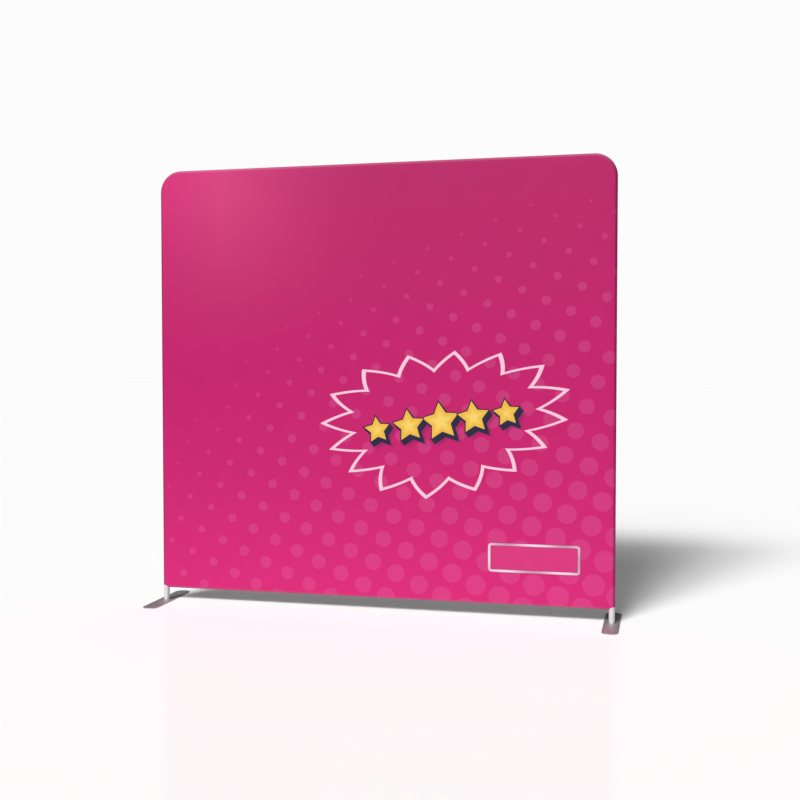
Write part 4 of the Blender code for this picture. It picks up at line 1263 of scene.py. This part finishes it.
# %% [markdown]
# Last, the picture goes onto the knit. Dye sits on the tops of the loops. Where the cloth turns sideways round the
# side poles, a painted shade darkens its colour, more on the left than on the right. Where it turns up or down, a
# painted sheen lightens it. Both depend on the way that the surface faces, which the Geometry node tells. A
# darker or paler band painted at a place of its own would do too, but wouldn't follow the ripples.

# %% Print it on the knit
# Colours of the painted shade on the sides and of the painted sheen on the top and bottom edges
PAINTED_SIDE_SHADE, PAINTED_EDGE_SHEEN = ink(30, 8, 24), (0.6, 0.55, 0.58)
knit_inputs = {"Place": spot, "Rows per metre": 1400.0, "Columns per metre": 1500.0}

shade = t.ramp(t.use(knit, knit_inputs, 1), 0.2, 0.8, 0.96, 1.03)
picture = t.blend(1.0, picture, t.join(shade, shade, shade), "MULTIPLY")
facing_x, _, facing_z = t.split(t.facing())
# Painted shade where the cloth turns sideways, stronger on the left; painted sheen where it turns up or down
painted_shade_right, painted_shade_left = t.ramp(facing_x, 0.1, 0.5, 0.0, 0.3), t.ramp(facing_x, -0.1, -0.6, 0.0, 0.55)
picture = t.blend(t.math("MAXIMUM", painted_shade_right, painted_shade_left), picture, PAINTED_SIDE_SHADE)
picture = t.blend(t.ramp(t.math("ABSOLUTE", facing_z), 0.1, 0.6, 0.0, 0.1), picture, PAINTED_EDGE_SHEEN)
finish_print("Base Color", picture)
finish_print("Normal", t.bump(t.use(knit, knit_inputs), 0.12 * MM))
print("print:", len(printed_cloth.node_tree.nodes), "nodes")

# %% [markdown]
# ## The other cloths
#
# The printed sheet's inside is undyed, and the colour only shines through as a faint blush. The back is the
# same knit in white. The tapes are woven closer than the knit and get finer rows. All three differ by a few values,
# so one function makes them.


# %% Dye the plain cloths
def plain_cloth(name, colour, rows, columns, spread, relief, **settings):
    """A plain knit or weave: its colour, its rows and columns per metre, how uneven its shade is, and its relief."""
    cloth, t, finish = new_material(name, **settings)
    values = {"Place": t.place(), "Rows per metre": rows, "Columns per metre": columns}
    uneven = t.ramp(t.use(knit, values, 1), 0.2, 0.8)
    finish("Base Color", t.blend(uneven, tuple(c * (1 - spread) for c in colour), colour))
    finish("Normal", t.bump(t.use(knit, values), relief, 0.6))
    return cloth


KNIT_SIZE, WEAVE_SIZE, THREAD_SIZE, COIL_SIZE = (1400.0, 1500.0), (2600.0, 1100.0), (3200.0, 3200.0), (900.0, 900.0)
BLUSH, WHITE, TAPE_WHITE, COIL_GREY = (0.80, 0.52, 0.60), (0.80, 0.80, 0.81), (0.72, 0.72, 0.73), (0.70, 0.70, 0.70)
THREAD_WHITE, THREAD_PINK = (0.78, 0.77, 0.76), ink(205, 45, 115)

blush_cloth = plain_cloth("print_inside", BLUSH, *KNIT_SIZE, 0.10, 0.12 * MM, Roughness=0.8)
white_cloth = plain_cloth("white_knit", WHITE, *KNIT_SIZE, 0.05, 0.14 * MM, Roughness=0.8, Sheen_Weight=0.08)
tape_cloth = plain_cloth("tape_weave", TAPE_WHITE, *WEAVE_SIZE, 0.12, 0.10 * MM, Roughness=0.7)
white_thread = plain_cloth("sewing_thread", THREAD_WHITE, *THREAD_SIZE, 0.2, 0.08 * MM, Roughness=0.6)
pink_thread = plain_cloth("pink_thread", THREAD_PINK, *THREAD_SIZE, 0.2, 0.08 * MM, Roughness=0.6)
coil_plastic = plain_cloth("coil_polyester", COIL_GREY, *COIL_SIZE, 0.08, 0.02 * MM, Roughness=0.35)

front.data.materials[0], front.data.materials[1] = printed_cloth, blush_cloth
cover_with(white_cloth, back)
cover_with(tape_cloth, tape_low, tape_high)
cover_with(coil_plastic, coil_low, coil_high)
cover_with(white_thread, seam_stitches, zip_stitches)
cover_with(pink_thread, exit_hem)
print("cloths:", [m.name for m in (blush_cloth, white_cloth, tape_cloth, white_thread, pink_thread, coil_plastic)])

# %% [markdown]
# ## The metals
#
# Five metals differ in colour, in how polished they are and in which way their lines run. The tubes were drawn
# and then satin anodised, the spigots are zinc plated, the feet are satin steel plate that shoes have touched. A
# Principled shader at full Metallic gives the reflection, and the streaks and scuffs change its roughness. The
# thick matt skin on the tubes, and the thinner one on the feet, scatter part of the light like paint, so those
# two are less than fully Metallic.


# %% Finish the metals
def metal(name, dark, bright, stretch, rough, scuff_rough, scuff_size=14.0, metallic=1.0):
    """A metal between two colours, with lines along the axis of the smallest stretch and duller where it is scuffed."""
    made, t, finish = new_material(name, Metallic=metallic)
    values = {"Place": t.place(), "Stretch": stretch, "Scuff size": scuff_size}
    lines, scuffs = t.use(streaks, values, 0), t.use(streaks, values, 1)
    finish("Base Color", t.blend(t.ramp(lines, 0.3, 0.7), dark, bright))
    finish("Roughness", t.math("ADD", t.ramp(lines, 0.3, 0.7, *rough), t.math("MULTIPLY", scuffs, scuff_rough)))
    finish("Normal", t.bump(lines, 0.01 * MM))
    return made


TUBE_FINISH = {"rough": (0.50, 0.58), "scuff_rough": 0.08, "metallic": 0.4}
FOOT_FINISH = {"rough": (0.52, 0.60), "scuff_rough": 0.06, "scuff_size": 11.0, "metallic": 0.88}
# The feet's warm pinkish grey is partly a painted reflection of the pink cover
TUBE_COLOURS, FOOT_COLOURS_PAINTED_PINK = ((0.49, 0.485, 0.49), (0.56, 0.555, 0.56)), ((0.525, 0.48, 0.49), (0.595, 0.55, 0.56))
ZINC_COLOURS, SPRING_COLOURS = ((0.55, 0.57, 0.60), (0.68, 0.69, 0.72)), ((0.40, 0.41, 0.44), (0.52, 0.53, 0.55))
NICKEL_COLOURS = (0.62, 0.62, 0.64), (0.76, 0.76, 0.78)

upright_tube = metal("tube_upright", *TUBE_COLOURS, (900, 900, 8), **TUBE_FINISH)
level_tube = metal("tube_level", *TUBE_COLOURS, (8, 900, 900), **TUBE_FINISH)
bent_tube = metal("tube_bent", *TUBE_COLOURS, (60, 900, 60), **TUBE_FINISH)
zinc = metal("zinc_plate", *ZINC_COLOURS, (60, 60, 60), (0.28, 0.42), 0.12)
spring = metal("spring_metal", *SPRING_COLOURS, (500, 500, 20), (0.18, 0.30), 0.08)
foot_metal = metal("foot_satin", *FOOT_COLOURS_PAINTED_PINK, (400, 10, 400), **FOOT_FINISH)
nickel = metal("zip_nickel", *NICKEL_COLOURS, (30, 900, 900), (0.16, 0.28), 0.10)

# Which nodes have which metal, by how their names start
USES = [
    (upright_tube, ("upright_", "centre_pole_")),
    (level_tube, ("top_rail", "bottom_rail")),
    (bent_tube, ("corner_tube",)),
    (zinc, ("spigot_", "foot_post", "foot_screw")),
    (spring, ("button_",)),
    (foot_metal, ("foot_plate",)),
    (nickel, ("zip_slider", "zip_pull")),
]
for material, starts in USES:
    cover_with(material, *(name for name in nodes if name.startswith(starts)))
cover_with(zinc, rivets)
cover_with(nickel, *stops)
print("metals:", [material.name for material, _ in USES])

# %% [markdown]
# ## Moulded nylon
#
# The saddles at the centre pole's ends are injection moulded. Such plastic is black with a fine eroded grain, and
# reflects a soft light from its skin.

# %% Mould the saddles
NYLON_DARK, NYLON_BRIGHT, GRAINS_PER_METRE = (0.018, 0.018, 0.019), (0.034, 0.034, 0.036), 1800.0

nylon, t, finish = new_material("black_nylon_grain", Roughness=0.45)
grain = t.noise(t.place(), GRAINS_PER_METRE, 2.0, 0.6)
finish("Base Color", t.blend(t.ramp(grain, 0.3, 0.7), NYLON_DARK, NYLON_BRIGHT))
finish("Normal", t.bump(grain, 0.03 * MM))
cover_with(nylon, "saddle_lower", "saddle_upper")
print("bare nodes:", [n for n, o in nodes.items() if not o.data.materials])

# %% [markdown]
# ## The studio
#
# In the photograph the wall stands on a floor so white that it can't be told from the background, with a faint
# sharp reflection below and a soft shadow behind. So the floor is a matt white that reflects a few per cent
# like glass. A plain glossy floor would mirror more at a glancing angle, so the share is fixed in a Mix Shader.
# Its white is chosen so that, far off and fully lit, it comes out as bright as the background.

# %% Lay the floor
FLOOR_REACH = 60
FLOOR_WHITE, MIRROR_SHARE = (0.898, 0.898, 0.898, 1), 0.035

bpy.ops.mesh.primitive_grid_add(x_subdivisions=8, y_subdivisions=8, size=2 * FLOOR_REACH, location=(0, 0, 0))
floor = named("studio_floor")
floor_paint = bpy.data.materials.new("floor_white")
floor_paint.use_nodes = True
t = Tree(floor_paint.node_tree)
t.tree.nodes.clear()
matt = t.add("ShaderNodeBsdfDiffuse", {"Color": FLOOR_WHITE})
mirror = t.add("ShaderNodeBsdfGlossy", {"Color": (1, 1, 1, 1), "Roughness": 0.0})
mixed = t.add("ShaderNodeMixShader", {0: MIRROR_SHARE, 1: matt, 2: mirror})
surface = t.tree.nodes.new("ShaderNodeOutputMaterial")
t.tree.links.new(mixed, surface.inputs[0])
floor.data.materials.append(floor_paint)
print("floor:", 2 * FLOOR_REACH, "m wide")

# %% [markdown]
# ## The light
#
# The shadow's place gives the light's direction: from the front, a little to the left, 38 degrees up. Its edge is
# about twice as soft sideways as up and down, as from a wide strip light, and it has a faint wide fringe. A sun
# lamp is a disc, so three of them stand side by side, and a fourth, three times as wide, gives the fringe. The
# world's light fills the shadow. The camera sees the world as the white that the floor also has, while the cloth
# gets less from it and metal mirrors still less, which a Light Path node keeps apart.

# %% Hang the lamps
SUN_STRENGTH, SUN_ELEVATION, SUN_AZIMUTH = 4.57, 38.1, -16.5
# Each lamp's turn from the middle and its width, in degrees, and its share of the light
LAMPS = [(-7.5, 11, 0.22), (0, 11, 0.21), (7.5, 11, 0.22), (0, 30, 0.35)]
LAMP_DISTANCE = 6
BACKGROUND, FILL, FILL_IN_METAL = 0.973, 0.181, 0.06

for turn, width, share in LAMPS:
    azimuth, elevation = math.radians(SUN_AZIMUTH + turn), math.radians(SUN_ELEVATION)
    level = Vector((math.sin(azimuth), -math.cos(azimuth), 0)) * math.cos(elevation)
    towards = level + Vector((0, 0, math.sin(elevation)))
    turned = towards.to_track_quat("Z", "Y").to_euler()
    bpy.ops.object.light_add(type="SUN", location=LAMP_DISTANCE * towards, rotation=turned)
    sun = bpy.context.object
    sun.name = "strip_light"
    sun.data.energy = SUN_STRENGTH * share
    sun.data.angle = math.radians(width)

world = bpy.data.worlds.new("studio_world")
bpy.context.scene.world = world
world.use_nodes = True
t = Tree(world.node_tree)
t.tree.nodes.clear()
path = t.add("ShaderNodeLightPath").node
seen = t.math("MAXIMUM", path.outputs["Is Camera Ray"], path.outputs["Is Singular Ray"])
fill = t.ramp(path.outputs["Is Glossy Ray"], 0.0, 1.0, FILL, FILL_IN_METAL)
sky = t.add("ShaderNodeBackground", {"Color": (1, 1, 1, 1), "Strength": t.ramp(seen, 0.0, 1.0, fill, BACKGROUND)})
surface = t.tree.nodes.new("ShaderNodeOutputWorld")
t.tree.links.new(sky, surface.inputs[0])
bpy.context.scene.view_settings.view_transform = "Standard"
bpy.context.scene.view_settings.look = "None"

# %% [markdown]
# ## Tie the pieces to the frame
#
# Last, every new piece is tied to the wall's body, which it rides on. The plain solids of the two panels and of the
# zip's tapes, which the new pieces stand for, are hidden. The front was cut to reach round the tubes to its lip on
# every side.

# %% Tie the pieces to the frame
SLOTS = {
    "printed_fabric": [front, exit_hem],
    "plain_fabric": [back, seam_stitches, zip_stitches],
    "zip_tape": [tape_low, tape_high, coil_low, coil_high],
    "zinc_steel": [rivets],
    "zip_metal": stops,
}
for slot, pieces in SLOTS.items():
    for piece in pieces:
        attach(piece, "wall")
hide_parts("front_panel")
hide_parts("back_panel")
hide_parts("zip_tape_lower")
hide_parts("zip_tape_upper")
